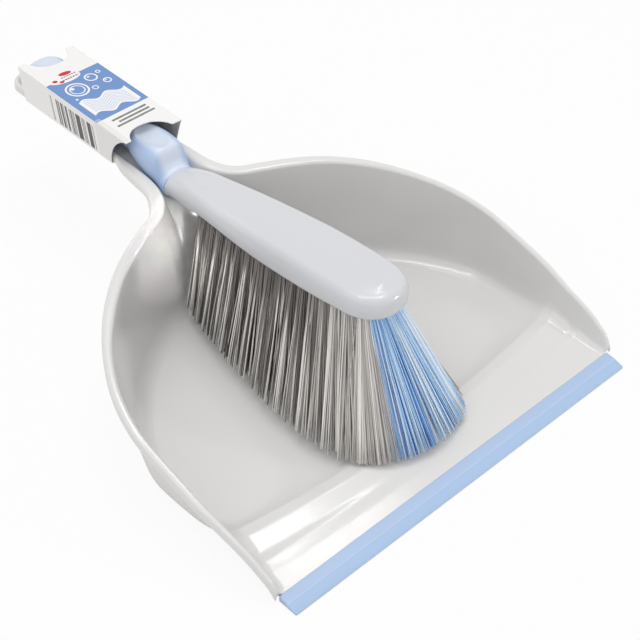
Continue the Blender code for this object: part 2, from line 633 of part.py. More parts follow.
def build_holes(cut):
    """All blind holes of the head in one cutter."""
    bm = bmesh.new()
    over = 3 * MM
    for cell in tuft_cells():
        root = root_point((cell[0] + cell[1]) / 2, (cell[2] + cell[3]) / 2)
        middle = float(head_low(root[1])) + (HOLE_DEEP - over) / 2
        radius = (TUFT_R + GAP) / math.cos(math.pi / TUFT_SIDES)
        bmesh.ops.create_cone(bm, cap_ends=True, segments=TUFT_SIDES, radius1=radius,
                              radius2=radius, depth=HOLE_DEEP + over,
                              matrix=Matrix.Translation((*root, middle)))
    mesh = bpy.data.meshes.new("tuft_holes")
    bm.to_mesh(mesh)
    bm.free()
    holes = bpy.data.objects.new("tuft_holes", mesh)
    cut.objects.link(holes)
    return holes


# ---- carton sleeve ------------------------------------------------------------
def sleeve_section(inset, per_side=(16, 9, 8, 9)):
    """Points round the section and the part of the side they lie on."""
    tl, tr = np.array(SLEEVE_TL), np.array(SLEEVE_TR)
    down = np.array([SLEEVE_LEAN, -math.sqrt(SLEEVE_SIDE ** 2 - SLEEVE_LEAN ** 2)])
    corners = [tl, tr, tr + down, tl + down]
    centre = sum(corners) / 4
    pts, where = [], []
    for k in range(4):
        a, b = corners[k], corners[(k + 1) % 4]
        along = (b - a) / np.linalg.norm(b - a)
        side = np.array([along[1], -along[0]])
        side = side if side @ (centre - a) > 0 else -side
        length = np.linalg.norm(b - a)
        r = SLEEVE_CORNER
        for i in range(per_side[k] + 1):
            f = i / per_side[k]
            pts.append(a + along * (r + (length - 2 * r) * f) + side * inset)
            where.append((k, f))
    return np.array(pts), where


def sleeve_front(k, f, width):
    """How far the front edge is cut back, on side k at the part f along it."""
    if k == 0:                                  # top: shallow arch
        x = (f - 0.5) * width
        s = min(abs(x + 1.5 * MM) / ARCH_HALF, 1)
        return ARCH_DEEP * (1 - s ** 2.4) ** 0.7
    if k == 3:                                  # -X side, from below to the top
        v = 1 - f
        return SIDE_ARCH * (1 - (1 - v) ** 1.9) ** 0.75
    if k == 1:                                  # +X side: slanted
        return SLANT * f ** 0.9
    return SLANT + (SIDE_ARCH - SLANT) * smooth(f, 0, 1)


def sleeve_back(k, f, width):
    if k == 0:
        s = min(abs((f - 0.5) * width + 0.3 * MM) / ARCH_HALF, 1)
        return (ARCH_DEEP + 1.2 * MM) * (1 - s ** 2.4) ** 0.7
    return 0.0


def build_sleeve(col, mat):
    outer, where = sleeve_section(0.0)
    inner, _ = sleeve_section(CARD)
    width = np.hypot(SLEEVE_TR[0] - SLEEVE_TL[0], SLEEVE_TR[1] - SLEEVE_TL[1])
    n = len(outer)
    verts, faces = [], []
    for ring in (outer, inner):
        for end in (0, 1):
            for (x, z), (k, f) in zip(ring, where):
                y = SLEEVE_Y0 + sleeve_front(k, f, width)
                if end:
                    y = SLEEVE_Y1 - sleeve_back(k, f, width)
                verts.append((x, float(y), z))
    for i in range(n):
        j = (i + 1) % n
        a, b, c, d = i, j, n + j, n + i
        faces.append((a, b, c, d))
        faces.append((2 * n + a, 2 * n + d, 2 * n + c, 2 * n + b))
        faces.append((a, 2 * n + a, 2 * n + b, b))
        faces.append((d, c, 2 * n + c, 2 * n + d))
    sleeve = new_object("carton_sleeve", verts, faces, col, mat)
    outward(sleeve)
    return sleeve


# ---- assembly -----------------------------------------------------------------
def main():
    for obj in list(bpy.data.objects):
        bpy.data.objects.remove(obj, do_unlink=True)
    col = collection("dust_pan_and_brush")
    cut = collection("cutters")
    plastic = material("pan_plastic", (0.72, 0.73, 0.72), 0.22)
    soft = material("soft_lip", (0.42, 0.56, 0.83), 0.5)
    white = material("head_plastic", (0.74, 0.76, 0.80), 0.2)
    grip = material("soft_grip", (0.42, 0.57, 0.84), 0.48)
    grey = material("grey_bristle", (0.36, 0.34, 0.32), 0.5)
    blue = material("blue_bristle", (0.10, 0.30, 0.70), 0.45)
    card = material("carton", (0.86, 0.86, 0.85), 0.6)
    build_pan(col, cut, plastic)
    build_lip(col, cut, soft)
    build_head(col, cut, white, build_holes(cut))
    build_grip(col, cut, grip)
    build_tufts(col, {"grey": grey, "blue": blue})
    build_sleeve(col, card)
    base = bpy.data.objects.new("set_origin", None)
    base.location = (0, -REST_Y, 0)
    col.objects.link(base)
    for obj in [*col.objects, *cut.objects]:
        if obj is not base:
            obj.parent = base


main()
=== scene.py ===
"""Looks of a dust pan and hand brush held together by a carton sleeve.

Lengths are in metres in the frame's own axes: +Z up, +Y from the lip to the end
of the handles, x = 0 the middle plane.  Shapes along Y are written from the
front edge of the lip, as in the construction, and put() moves them to their place.
"""
import math

import bmesh
import bpy
import numpy as np
from mathutils import Matrix, Vector


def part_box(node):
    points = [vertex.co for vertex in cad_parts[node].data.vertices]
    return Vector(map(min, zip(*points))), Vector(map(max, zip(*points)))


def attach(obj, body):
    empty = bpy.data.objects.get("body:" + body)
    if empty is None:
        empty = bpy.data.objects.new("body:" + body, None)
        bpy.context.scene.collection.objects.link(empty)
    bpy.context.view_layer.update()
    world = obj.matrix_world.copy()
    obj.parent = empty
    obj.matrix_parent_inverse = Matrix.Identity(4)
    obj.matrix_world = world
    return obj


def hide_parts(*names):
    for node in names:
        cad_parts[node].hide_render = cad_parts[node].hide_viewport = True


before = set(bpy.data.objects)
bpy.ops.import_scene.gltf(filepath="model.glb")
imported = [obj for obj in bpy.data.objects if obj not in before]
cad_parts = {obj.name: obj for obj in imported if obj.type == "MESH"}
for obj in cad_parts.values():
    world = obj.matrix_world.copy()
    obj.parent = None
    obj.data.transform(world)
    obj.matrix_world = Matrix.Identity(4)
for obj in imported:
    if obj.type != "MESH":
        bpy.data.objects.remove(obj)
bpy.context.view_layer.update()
MM = 0.001
UP = np.array([0, 0, 1.0])

# ---- sizes, read from the frame or shared with the construction ----
LIP_LO, LIP_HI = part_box("lip")
HEAD_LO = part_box("brush_head")[0]
GRIP_LO, GRIP_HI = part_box("brush_grip")
FRONT = LIP_LO.y                       # the lip's front edge
LIP_HALF, LIP_DEPTH, LIP_HIGH = LIP_HI.x, LIP_HI.y - LIP_LO.y, LIP_HI.z
GAP = 0.3 * MM
WALL = 2.0 * MM
PAN_HALF = 118 * MM
CREST_Y, CREST_BOW, CREST_HIGH = 42.5 * MM, 9.5 * MM, 8 * MM
CREST_FLAT, CREST_FALL = 6.5 * MM, 17 * MM
CREST_DIP, CREST_SINK = 0.9 * MM, 11 * MM      # fall of the flat band, reach of the sink behind it
CREASE = 0.12 * MM                             # width of the crest's two creases
RAMP_RISE = 0.2                                # slope of the ramp
RIM_FRONT = 6 * MM
FOOT_FILLET, RAMP_FILLET = 10 * MM, 3.5 * MM
FLANGE_SIDE, FLANGE_BACK, FLANGE_DROP, FLANGE_EDGE = 4.2 * MM, 8 * MM, 4 * MM, 1.4 * MM
FLANGE_TOP, FLANGE_ROUND = 1.6 * MM, 1.5 * MM  # thickness, and round of its inner edge
TRAY_HALF, TRAY_FLANGE = 12.8 * MM, 2.9 * MM
TRAY_FLOOR, TRAY_UNDER, TRAY_RIM = 63.4 * MM, 61.6 * MM, 65.8 * MM
TRAY_END, NECK_Y = 350 * MM, 212 * MM
GRIP_SHELF = 5.6 * MM                          # rise of the spout's floor beside the grip
RIM_HIGH, WELL_BACK = TRAY_FLOOR - 1.4 * MM, NECK_Y - 21 * MM
COLLAR_Y = GRIP_LO.y - FRONT - GAP
TOE_Y = HEAD_LO.y - FRONT
HEAD_HALF, NECK_HALF, NECK_POWERS, HEAD_CROWN = 18 * MM, TRAY_HALF - 2.5 * MM, (3.0, 2.1), 1.1 * MM
GRIP_HALF, GRIP_TOP, GRIP_END = TRAY_HALF - 1.6 * MM, GRIP_HI.z, GRIP_HI.y - FRONT
PAD_Y, PAD_LONG, PAD_HALF = COLLAR_Y + 20.3 * MM, 13.4 * MM, NECK_HALF - 2.1 * MM
TIP_Z = CREST_HIGH + 1.5 * MM


# ---- curves and fields ------------------------------------
def curve(t, y, at):
    """Cubic Hermite y(t): each tangent is the mean of the two slopes, the nearer
    chord weighing more, held to three times the smaller and to 0 at a turn."""
    t, y, at = (np.asarray(v, float) for v in (t, y, at))
    h = np.diff(t)
    d = np.diff(y) / h
    m = np.r_[d[0], (h[1:] * d[:-1] + h[:-1] * d[1:]) / (h[1:] + h[:-1]), d[-1]]
    lim = 3 * np.minimum(np.abs(d[:-1]), np.abs(d[1:])) * (d[:-1] * d[1:] > 0)
    m[1:-1] = np.clip(m[1:-1], -lim, lim)
    i = np.clip(np.searchsorted(t, at, side="right") - 1, 0, len(t) - 2)
    s = (at - t[i]) / h[i]
    return ((1 + 2 * s) * (1 - s) ** 2 * y[i] + s * (1 - s) ** 2 * h[i] * m[i]
            + s * s * (3 - 2 * s) * y[i + 1] + s * s * (s - 1) * h[i] * m[i + 1])


def smooth(x, lo, hi):
    """Smooth step 3s^2 - 2s^3 of x between lo and hi."""
    s = np.clip((np.asarray(x, float) - lo) / (hi - lo), 0, 1)
    return s * s * (3 - 2 * s)


def unit(v):
    return v / np.maximum(np.linalg.norm(v, axis=-1, keepdims=True), 1e-12)


def lerp(a, b, s):
    return a + (b - a) * s


def in_mm(*lengths):
    return [v / MM for v in lengths]


# ---- meshes -----------------------------------------------
def grid_faces(rows, cols, wrap=False, flip=False):
    """Quads of a grid of points, closed round the columns where wrap is set."""
    i, j = np.mgrid[:rows - 1, :cols if wrap else cols - 1]
    k = (j + 1) % cols
    quads = np.stack([i * cols + j, i * cols + k, (i + 1) * cols + k, (i + 1) * cols + j], -1)
    quads = quads.reshape(-1, 4)
    return quads[:, ::-1] if flip else quads


def end_caps(rows, cols):
    """Faces that close the first and the last row of a grid that wraps round."""
    return [list(range(cols))[::-1], list(range((rows - 1) * cols, rows * cols))]


def put(points):
    """Points measured from the lip's front edge, in the frame's axes."""
    return np.asarray(points, float).reshape(-1, 3) + (0, FRONT, 0)


def piece(name, points, quads, mat, body, nodes, caps=(), weld=None, sharp=None):
    """Mesh object that rides on a body and stands for the CAD nodes named."""
    mesh = bpy.data.meshes.new(name)
    if len(caps):
        mesh.from_pydata(points.tolist(), [], [*quads.tolist(), *caps])
    else:
        fill_mesh(mesh, points, quads)
    if weld:
        bm = bmesh.new()
        bm.from_mesh(mesh)
        bmesh.ops.remove_doubles(bm, verts=bm.verts, dist=weld)
        bmesh.ops.recalc_face_normals(bm, faces=bm.faces)
        bm.to_mesh(mesh)
        bm.free()
    mesh.shade_smooth()
    if sharp:
        mesh.set_sharp_from_angle(angle=math.radians(sharp))
    mesh.materials.append(mat)
    obj = bpy.data.objects.new(name, mesh)
    bpy.context.scene.collection.objects.link(obj)
    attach(obj, body)
    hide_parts(*nodes)
    return obj


def fill_mesh(mesh, points, quads):
    """Arrays of points and quads into a mesh."""
    mesh.vertices.add(len(points))
    mesh.vertices.foreach_set("co", np.asarray(points, np.float32).ravel())
    mesh.loops.add(quads.size)
    mesh.loops.foreach_set("vertex_index", quads.astype(np.int32).ravel())
    mesh.polygons.add(len(quads))
    mesh.polygons.foreach_set("loop_start", np.arange(0, quads.size, 4, dtype=np.int32))
    mesh.update(calc_edges=True)


# ---- shader maths -----------------------------------------
class Shade:
    """One output socket; arithmetic on it adds Math nodes."""

    def __init__(self, graph, socket):
        self.graph, self.socket = graph, socket

    def math(self, op, *others, clamp=False):
        return self.graph.add("ShaderNodeMath", {"operation": op, "use_clamp": clamp},
                              {k: v for k, v in enumerate((self, *others))})

    def __add__(self, other):
        return self.math("ADD", other)

    __radd__ = __add__

    def __mul__(self, other):
        return self.math("MULTIPLY", other)

    __rmul__ = __mul__

    def __sub__(self, other):
        return self.math("SUBTRACT", other)

    def __rsub__(self, other):
        return (self * -1) + other

    def __truediv__(self, other):
        return self.math("DIVIDE", other)

    def __abs__(self):
        return self.math("ABSOLUTE")

    def __or__(self, other):
        return self.math("MAXIMUM", other)

    def under(self, edge, soft=0.0):
        """1 below the edge and 0 above it, over a soft band."""
        return 1 - self.over(edge, soft)

    def over(self, edge, soft=0.0):
        if not soft:
            return self.math("GREATER_THAN", edge)
        return ((self - (edge - soft / 2)) / soft).math("MULTIPLY", 1.0, clamp=True)

    def within(self, low, high, soft=0.0):
        return self.over(low, soft) * self.under(high, soft)


class Graph:
    """Material whose nodes are written as expressions."""

    def __init__(self, name, **fixed):
        self.mat = bpy.data.materials.new(name)
        self.mat.use_nodes = True
        self.tree = self.mat.node_tree
        self.shader = self.tree.nodes["Principled BSDF"]
        self.set(**fixed)

    def set(self, **values):
        """Values or links of the surface shader, by the socket's name."""
        for key, val in values.items():
            self.plug(self.shader.inputs[key.replace("_", " ")], val)

    def plug(self, socket, val):
        if isinstance(val, Shade):
            self.tree.links.new(val.socket, socket)
        elif isinstance(val, (tuple, list)) and len(val) == 3 and socket.type == "RGBA":
            socket.default_value = (*val, 1)
        else:
            socket.default_value = val

    def add(self, kind, settings=None, inputs=None, out=0):
        """A node by its type, its settings, and the values or links of its sockets."""
        node = self.tree.nodes.new(kind)
        for key, val in (settings or {}).items():
            if key == "stops":
                ramp = node.color_ramp
                while len(ramp.elements) < len(val):
                    ramp.elements.new(0.5)
                for element, (at, colour) in zip(ramp.elements, val):
                    element.position, element.color = at, (*colour, 1)
            else:
                setattr(node, key, val)
        for key, val in (inputs or {}).items():
            self.plug(node.inputs[key], val)
        return Shade(self, node.outputs[out])

    def coords(self):
        return self.add("ShaderNodeTexCoord", out="Object")

    def parts(self, vector):
        split = self.add("ShaderNodeSeparateXYZ", inputs={0: vector})
        return [Shade(self, split.socket.node.outputs[k]) for k in range(3)]

    def noise(self, scale, detail, vector=None, rough=0.5):
        return self.add("ShaderNodeTexNoise", inputs={
            "Vector": vector or self.coords(), "Scale": scale,
            "Detail": detail, "Roughness": rough})

    def stretch(self, scale):
        return self.add("ShaderNodeMapping", inputs={"Vector": self.coords(), "Scale": scale})

    def mix(self, share, a, b):
        return self.add("ShaderNodeMix", {"data_type": "RGBA"},
                        {"Factor": share, 6: a, 7: b}, out=2)

    def distance(self, x, y, cx, cy, stretch=1.0):
        """Distance in the plane from (cx, cy), with x drawn out by stretch."""
        dx, dy = (x - cx) / stretch, y - cy
        return (dx * dx + dy * dy).math("SQRT")

    def bump(self, height, strength, distance):
        return self.add("ShaderNodeBump", inputs={"Height": height, "Strength": strength,
                                                   "Distance": distance})


# painted light: the grip's top is drawn paler along its middle, as if lit from above
LIT_TOP_HALF = 7.0                     # half width of the grip's paler middle, in mm


def moulded(name, colour, shade, rough, grain, top=None, highlight_crease=None):
    """Moulded plastic: slight flow clouding, satin patches and a faint skin texture.
    A top colour pales the piece along its middle as painted light on its top, and a
    crease distance puts a painted highlight line that far behind the front edge,
    with painted shade on the face before it."""
    g = Graph(name)
    cloud = g.noise(14.0, 3.0)
    flow = g.noise(60.0, 2.0, g.stretch((1.0, 0.35, 1.0)))
    base = g.mix(cloud, shade, colour)
    if top:
        # painted light: a paler colour along the middle, on the top, as if lit from above
        x, _, _ = g.parts(g.coords())
        base = g.mix(abs(x * 1000).under(LIT_TOP_HALF, LIT_TOP_HALF / 2), base, top)
    # painted shade and highlight: the lip's front face before the crease is drawn darker as shade,
    # and a pale painted highlight line runs along the crease
    if highlight_crease:
        _, y, _ = g.parts(g.coords())
        y = (y - FRONT) * 1000
        base = g.mix(y.under(highlight_crease, 0.2) * 0.6, base, (0.93 * colour[0], *colour[1:]))
        base = g.mix(abs(y - highlight_crease).under(0.2, 0.2) * 0.35, base, (0.72, 0.8, 0.93))
    g.set(Base_Color=base, Roughness=rough + (flow - 0.5) * 0.06,
          Normal=g.bump(g.noise(grain, 3.0), 0.06, 0.0002))
    return g.mat


def bristle_material(name, dark, mid, light):
    """Extruded bristle: each strand has its own tone, darker towards its root as painted shade."""
    g = Graph(name, Specular_IOR_Level=0.55)
    tone = g.add("ShaderNodeAttribute", {"attribute_name": "tone"}, out="Fac")
    stops = [(0.0, dark), (0.5, mid), (1.0, light)]
    colour = g.add("ShaderNodeValToRGB", {"stops": stops}, {0: tone})
    g.set(Base_Color=colour, Roughness=0.38 - tone * 0.08)
    return g.mat


# ---- pan --------------------------------------------------
def pan_rows(shelf=0.0):
    """Control stations from the end of the handle, along one side, to the lip:
    rim x, y, z, foot of the wall x, y, z, middle y, z, and the flange's width.
    The shelf is how much higher the foot stands beside the grip."""
    h, t, rim, shelf = in_mm(TRAY_HALF, TRAY_FLOOR, TRAY_RIM, shelf)
    w, b, n, c, r = in_mm(PAN_HALF, WELL_BACK, NECK_Y, WALL, RIM_HIGH)
    tf, fb, fs = in_mm(TRAY_FLANGE, FLANGE_BACK, FLANGE_SIDE)
    mid, crest, flat, fall = in_mm(CREST_Y, CREST_Y + CREST_BOW, CREST_FLAT, CREST_FALL)
    ch, lh, ramp, front = in_mm(CREST_HIGH, LIP_HIGH, LIP_DEPTH + GAP, RIM_FRONT)
    end, f = TRAY_END / MM - tf - 0.6, h - 1.4
    return MM * np.array([
        (0, end, rim, 0, end - 1.6, t, end - 4, t, tf),
        (h - 4, end - 0.8, rim, f - 3.4, end - 2.4, t, end - 5, t, tf),
        (h, end - 7, rim, f, end - 7.3, t, end - 9, t, tf),
        (h, n + 40, rim, f, n + 40, t, n + 40, t, tf),
        (h, n + 29, rim, f - 0.2, n + 28, t - 2.2, n + 27, t - 2.2, 0.55 * (tf + fb)),
        (h + 0.4, n + 14, rim - 0.3, f - 0.4, n + 13, t - 8 + shelf, n + 12.5, t - 8.4, fb - 0.6),
        (h + 2, n + 2, rim - 1, f - 0.4, n, t - 14.6, n - 1, t - 15.6, fb - 0.6),
        (h + 4.6, n - 4.6, r + 1.8, f - 0.2, b + 13, 0.56 * t, b + 11.8, 0.54 * t, fb),
        (h + 8.5, n - 10, r + 1, f + 0.8, b + 7, 0.27 * t, b + 5.4, 0.24 * t, fb),
        (h + 14, n - 14.6, r + 0.4, f + 6.5, b + 1.5, c + 2.2, b - 3, c + 1.2, fb),
        (h + 23, n - 19, r, 30, b - 5, c, b - 16, c, fb),
        (52, n - 26.6, r - 0.8, 48, b - 13.5, c, b - 34, c, fb - 0.2),
        (68.5, n - 36, r - 2.2, 65.5, b - 24, c, b - 52, c, fb - 1.2),
        (86, n - 50.5, r - 5.6, 81.5, b - 38, c, b - 69, c, 0.5 * (fb + fs)),
        (101, n - 67.5, r - 10.5, 95.5, b - 56, c, b - 86, c, fs + 0.6),
        (w - 5.2, n - 90, r - 16.3, 107, b - 78, c, b - 103, c, fs + 0.2),
        (w, n - 116, r - 22.8, w - 4.8, b - 98, c, b - 119, c, fs),
        (w + 0.2, n - 138, r - 28.4, w - 4.6, crest + fall + 3, c, mid + fall + 2, c, fs),
        (w + 0.1, crest + 9, r - 32, w - 5.4, crest + 9, c + 0.28 * (ch - c), mid + 8.5,
         c + 0.26 * (ch - c), fs),
        (w - 0.3, crest - 0.5, r - 35, w - 7, crest, ch, mid, ch, fs - 0.5),
        (w - 0.7, crest - flat, r - 37, w - 7, crest - flat, ch, mid - flat, ch - 0.1, fs - 0.8),
        (w - 2, ramp + 10, 16, w - 5.6, ramp + 10, lh + 1.3, ramp + 8, lh + 1.1, fs - 1.3),
        (w - 2.6, ramp + 2.6, 10.4, w - 5, ramp + 2.6, lh + 0.35, ramp + 2.2, lh + 0.3, fs - 1.5),
        (w - 3, ramp, front, w - 4.8, ramp, lh, ramp, lh, fs - 1.6),
    ])


def crest_profile(y, z, front):
    """Height of the floor across the crest, over the distance behind its front line.

    The ramp rises straight to the front line, a flat band falls by CREST_DIP to the
    back line, and behind it the floor sinks as exp(-d / CREST_SINK).  The three meet
    in the smooth minimum -k log(sum exp(-z / k)), which leaves two thin creases.
    Elsewhere z is kept.
    """
    d = y - front
    rise = CREST_HIGH + d * RAMP_RISE
    band = CREST_HIGH + 0.1 * MM - np.minimum(d / CREST_FLAT, 2) * CREST_DIP
    back = np.maximum(d - CREST_FLAT, -4 * MM)
    fall = WALL + (CREST_HIGH - 0.8 * MM - WALL) * np.exp(-back / CREST_SINK)
    new = -CREASE * np.log(np.exp(-rise / CREASE) + np.exp(-band / CREASE) + np.exp(-fall / CREASE))
    near = smooth(d, -17 * MM, -10 * MM) * (1 - smooth(d, 42 * MM, 60 * MM))
    return lerp(z, new, near)


def pan_stations(shelf=0.0, fine=9):
    """Cubic curves through the control stations, closer together by the crest, with
    the rim's outward normal."""
    rows = pan_rows(shelf)
    chord = np.hypot(*np.diff(rows[:, :2], axis=0).T) + np.abs(np.diff(rows[:, 6]))
    t = np.r_[0, np.cumsum(chord)]
    near = np.abs(rows[:, 6] - CREST_Y) < 2.2 * CREST_FLAT
    at = np.concatenate([np.linspace(a, b, 3 * fine if p or q else fine, endpoint=False)
                         for a, b, p, q in zip(t, t[1:], near, near[1:])] + [[t[-1]]])
    st = np.stack([curve(t, rows[:, k], at) for k in range(9)], 1)
    st[0, [0, 3]] = 0
    st[:, 5] = crest_profile(st[:, 4], st[:, 5], CREST_Y + CREST_BOW - CREST_FLAT)
    st[:, 7] = crest_profile(st[:, 6], st[:, 7], CREST_Y - CREST_FLAT)
    d = np.gradient(st[:, :2], axis=0)
    out = unit(np.stack([-d[:, 1], d[:, 0]], 1))
    out[0], out[-1] = (0, 1), (1, 0)
    return st, np.c_[out, np.zeros(len(out))]


def pan_inside(st):
    """Wall, fillet and floor of every station, unrounded at the rim.

    The wall is straight from rim to foot.  The fillet is the parabola
    (1-s)^2 A + 2s(1-s) F + s^2 B about the foot F.  The floor runs to the middle
    plane as the parabola B s^2 in y and z, so that it crosses the plane square.
    """
    rim, foot = st[:, None, 0:3], st[:, None, 3:6]
    mid = np.stack([0 * st[:, 6], st[:, 6], st[:, 7]], 1)[:, None]
    wall = foot - rim
    length = np.linalg.norm(wall, axis=-1, keepdims=True)
    flat = (mid - foot) * (1, 2, 2)
    run = np.linalg.norm(flat, axis=-1, keepdims=True)
    flat = flat / np.maximum(run, 1e-9)
    near = RAMP_FILLET + (FOOT_FILLET - RAMP_FILLET) * smooth(
        foot[..., 1:2], LIP_DEPTH, CREST_Y + CREST_BOW + CREST_FALL)
    share = np.where(foot[..., :1] > 0, 0.3, 0.35)
    reach = np.minimum(np.minimum(near, 0.45 * length), share * run)
    a, b = foot - wall / length * reach, foot + flat * reach
    s = np.linspace(0, 1, 12)[None, :-1, None]
    straight = rim + (a - rim) * s
    s = np.linspace(0, 1, 15)[None, :-1, None]
    fillet = (1 - s) ** 2 * a + 2 * s * (1 - s) * foot + s * s * b
    s = np.linspace(1, 0, 15)[None, :, None]
    floor = mid + (b - mid) * np.concatenate([s, s * s, s * s], -1)
    return np.concatenate([straight, fillet, floor], 1)


def flange_over(st, out):
    """Upper side of the flange: a low ridge, then a round edge that drops."""
    share = np.linspace(0, 5, 31)
    a = curve(np.arange(6), [1.0, 0.97, 0.82, 0.5, 0.2, 0.0], share)
    b = curve(np.arange(6), [-1.0, -0.5, -0.06, 0.12, 0.09, 0.0], share)
    rim, w = st[:, None, :3], st[:, None, 8:9]
    return rim + out[:, None] * (a[None, :, None] * w) + UP * b[None, :, None] * FLANGE_DROP


def soften(before, after, count, reach):
    """Parabolic round of the corner where two rows of curves meet."""
    corner = after[:, :1]
    a = corner + unit(before[:, -3:-2] - corner) * reach
    b = corner + unit(after[:, 1:2] - corner) * reach
    s = np.linspace(0, 1, count)[None, :, None]
    return (1 - s) ** 2 * a + 2 * s * (1 - s) * corner + s * s * b


def trim(points, corner, reach):
    """Rows with every point nearer than reach to the corner drawn out to it."""
    far = np.linalg.norm(points - corner, axis=-1, keepdims=True)
    return np.where(far < reach, corner + unit(points - corner) * reach, points)


def pan_skins():
    """Upper and lower skin of one half, from the flange's edge to x = 0."""
    st, out = pan_stations()
    inside = pan_inside(pan_stations(GRIP_SHELF)[0])
    lid = flange_over(st, out)
    reach = np.minimum(FLANGE_ROUND, 0.3 * st[:, 8])[:, None, None]
    corner = inside[:, :1]
    top = np.concatenate([trim(lid[:, :-1], corner, reach), soften(lid, inside, 7, reach),
                          trim(inside[:, 1:], corner, reach)], 1)
    # lower skin: a hollow under the flange, then the inside moved out by the wall
    inside = pan_inside(st)
    normal = unit(np.cross(np.gradient(inside, axis=0), np.gradient(inside, axis=1)))
    normal = np.where(normal[..., 2:] < 0, -normal, normal)
    normal[:, -1, 0] = 0
    normal[0, :, 0] = 0
    under = inside - unit(normal) * WALL
    tray = smooth(st[:, 5], TRAY_FLOOR - 2 * MM, TRAY_FLOOR)[:, None]
    under[..., 2] = under[..., 2] * (1 - tray) + TRAY_UNDER * tray
    w = st[:, 8]
    inner = WALL + 0.05 * MM
    edge = np.maximum(w - FLANGE_EDGE, w - 0.35 * (w - inner))
    room = edge - inner
    hollow = (FLANGE_DROP - FLANGE_TOP) * smooth(room, 0.6 * MM, 3 * MM)
    s = np.linspace(0, 5, 16)
    a = curve(np.arange(6), [0, 0.08, 0.28, 0.5, 0.75, 1.0], s)
    b = curve(np.arange(6), [0, 0.6, 0.95, 1.0, 0.95, 0.6], s)
    skirt = (st[:, None, :3] + out[:, None] * (edge[:, None] - room[:, None] * a)[..., None]
             + UP * (hollow[:, None] * b - FLANGE_DROP)[..., None])
    return top, np.concatenate([skirt, under[:, 4:]], 1)


def both_sides(half):
    """Rows of a half and of its mirror image, from edge to edge."""
    left = half * (-1, 1, 1)
    return np.concatenate([left, half[:, -2::-1]], 1)


def build_pan(mat):
    """Pan: its two skins, joined along the flange's edge and closed at the lip."""
    top, low = (both_sides(s) for s in pan_skins())
    n, a, b = len(top), top.shape[1], low.shape[1]
    base = n * a
    quads = [grid_faces(n, a), grid_faces(n, b, flip=True) + base]
    i = np.arange(n - 1)
    for p, q in ((0, 0), (a - 1, b - 1)):        # the flange's edge, both sides
        quads.append(np.stack([i * a + p, (i + 1) * a + p,
                               base + (i + 1) * b + q, base + i * b + q], 1))
    front = [*range((n - 1) * a, n * a), *range(base + n * b - 1, base + (n - 1) * b - 1, -1)]
    points = put(np.concatenate([top.reshape(-1, 3), low.reshape(-1, 3)]))
    piece("pan_shell", points, np.concatenate(quads), mat, "pan", ["pan"],
          caps=[front], weld=2e-6, sharp=40)


def build_lip(mat):
    """Soft strip: its section, with every corner rounded, carried across the pan."""
    d = LIP_DEPTH + 0.22 * MM
    prof = np.array([(0.1, 0.0), (0.0, 0.12), (0.0, 0.6), (0.08, 0.8), (0.3, 0.97), (3.0, 1.88),
                     (5.7, 2.75), (6.0, 2.86), (6.3, 2.95), (8.0, 3.12), (10.7, 3.38),
                     (11.0, 3.4), (11.2, 3.4)]) * MM
    prof[:, 0] *= d / (11.2 * MM)
    prof = np.concatenate([prof, [(d, 0.0)]])
    end, drawn = np.array([-1, -0.9985, -0.996, -0.99]), np.array([1.0, 0.5, 0.18, 0.0])
    x = np.r_[end, np.linspace(-0.97, 0.97, 40), -end[::-1]]
    inset = np.r_[drawn, np.zeros(40), drawn[::-1]] * 0.5 * MM
    y = np.maximum(prof[None, :, 0], inset[:, None])
    z = prof[None, :, 1] * (1 - 0.25 * inset[:, None] / MM)
    points = np.stack([np.broadcast_to(x[:, None] * LIP_HALF, y.shape), y, z], -1)
    n, m = points.shape[:2]
    piece("lip_strip", put(points), grid_faces(n, m, wrap=True), mat, "pan", ["lip"],
          caps=end_caps(n, m), weld=1e-6, sharp=32)


# ---- brush ------------------------------------------------
def head_share(y):
    """0 at the toe, 1 at the collar."""
    return (np.asarray(y, float) - TOE_Y) / (COLLAR_Y - TOE_Y)


def head_half(y):
    """Half width of the head in plan, without the round of the toe."""
    at = np.array([0.125, 0.235, 0.36, 0.482, 0.605, 0.729, 0.827, 0.914, 1.0])
    part = np.array([0.978, 1.0, 0.983, 0.939, 0.872, 0.783, 0.689, 0.633, NECK_HALF / HEAD_HALF])
    return HEAD_HALF * curve(at, part, np.clip(head_share(y), at[0], at[-1]))


def head_top(y):
    """Height of the head's upper edge."""
    at = [0, 0.069, 0.162, 0.236, 0.36, 0.482, 0.605, 0.729, 0.827, 0.914, 0.963, 1.0]
    up = np.array([22.8, 23.1, 22.8, 22.0, 20.5, 18.2, 15.8, 13.1, 11.1, 9.0, 7.1, 4.8]) * MM
    return TRAY_FLOOR + curve(at, up, head_share(y))


def head_low(y):
    """Height of its underside."""
    at = [0, 0.131, 0.236, 0.36, 0.482, 0.605, 0.729, 0.827, 0.914, 0.963, 1.0]
    up = np.array([11.8, 9.9, 7.6, 5.1, 2.7, 1.0, -0.1, -2.0, -5.0, -7.4, -9.9]) * MM
    return TRAY_FLOOR + curve(at, up, head_share(y))


def unit_section(angles, low_power, high_power):
    """Superellipse |x|^p + |z|^p = 1, with one power below and one above."""
    c, s = np.cos(angles), np.sin(angles)
    p = np.where(s < 0, low_power, high_power)
    return np.copysign(np.abs(c) ** (2 / p), c), np.copysign(np.abs(s) ** (2 / p), s)


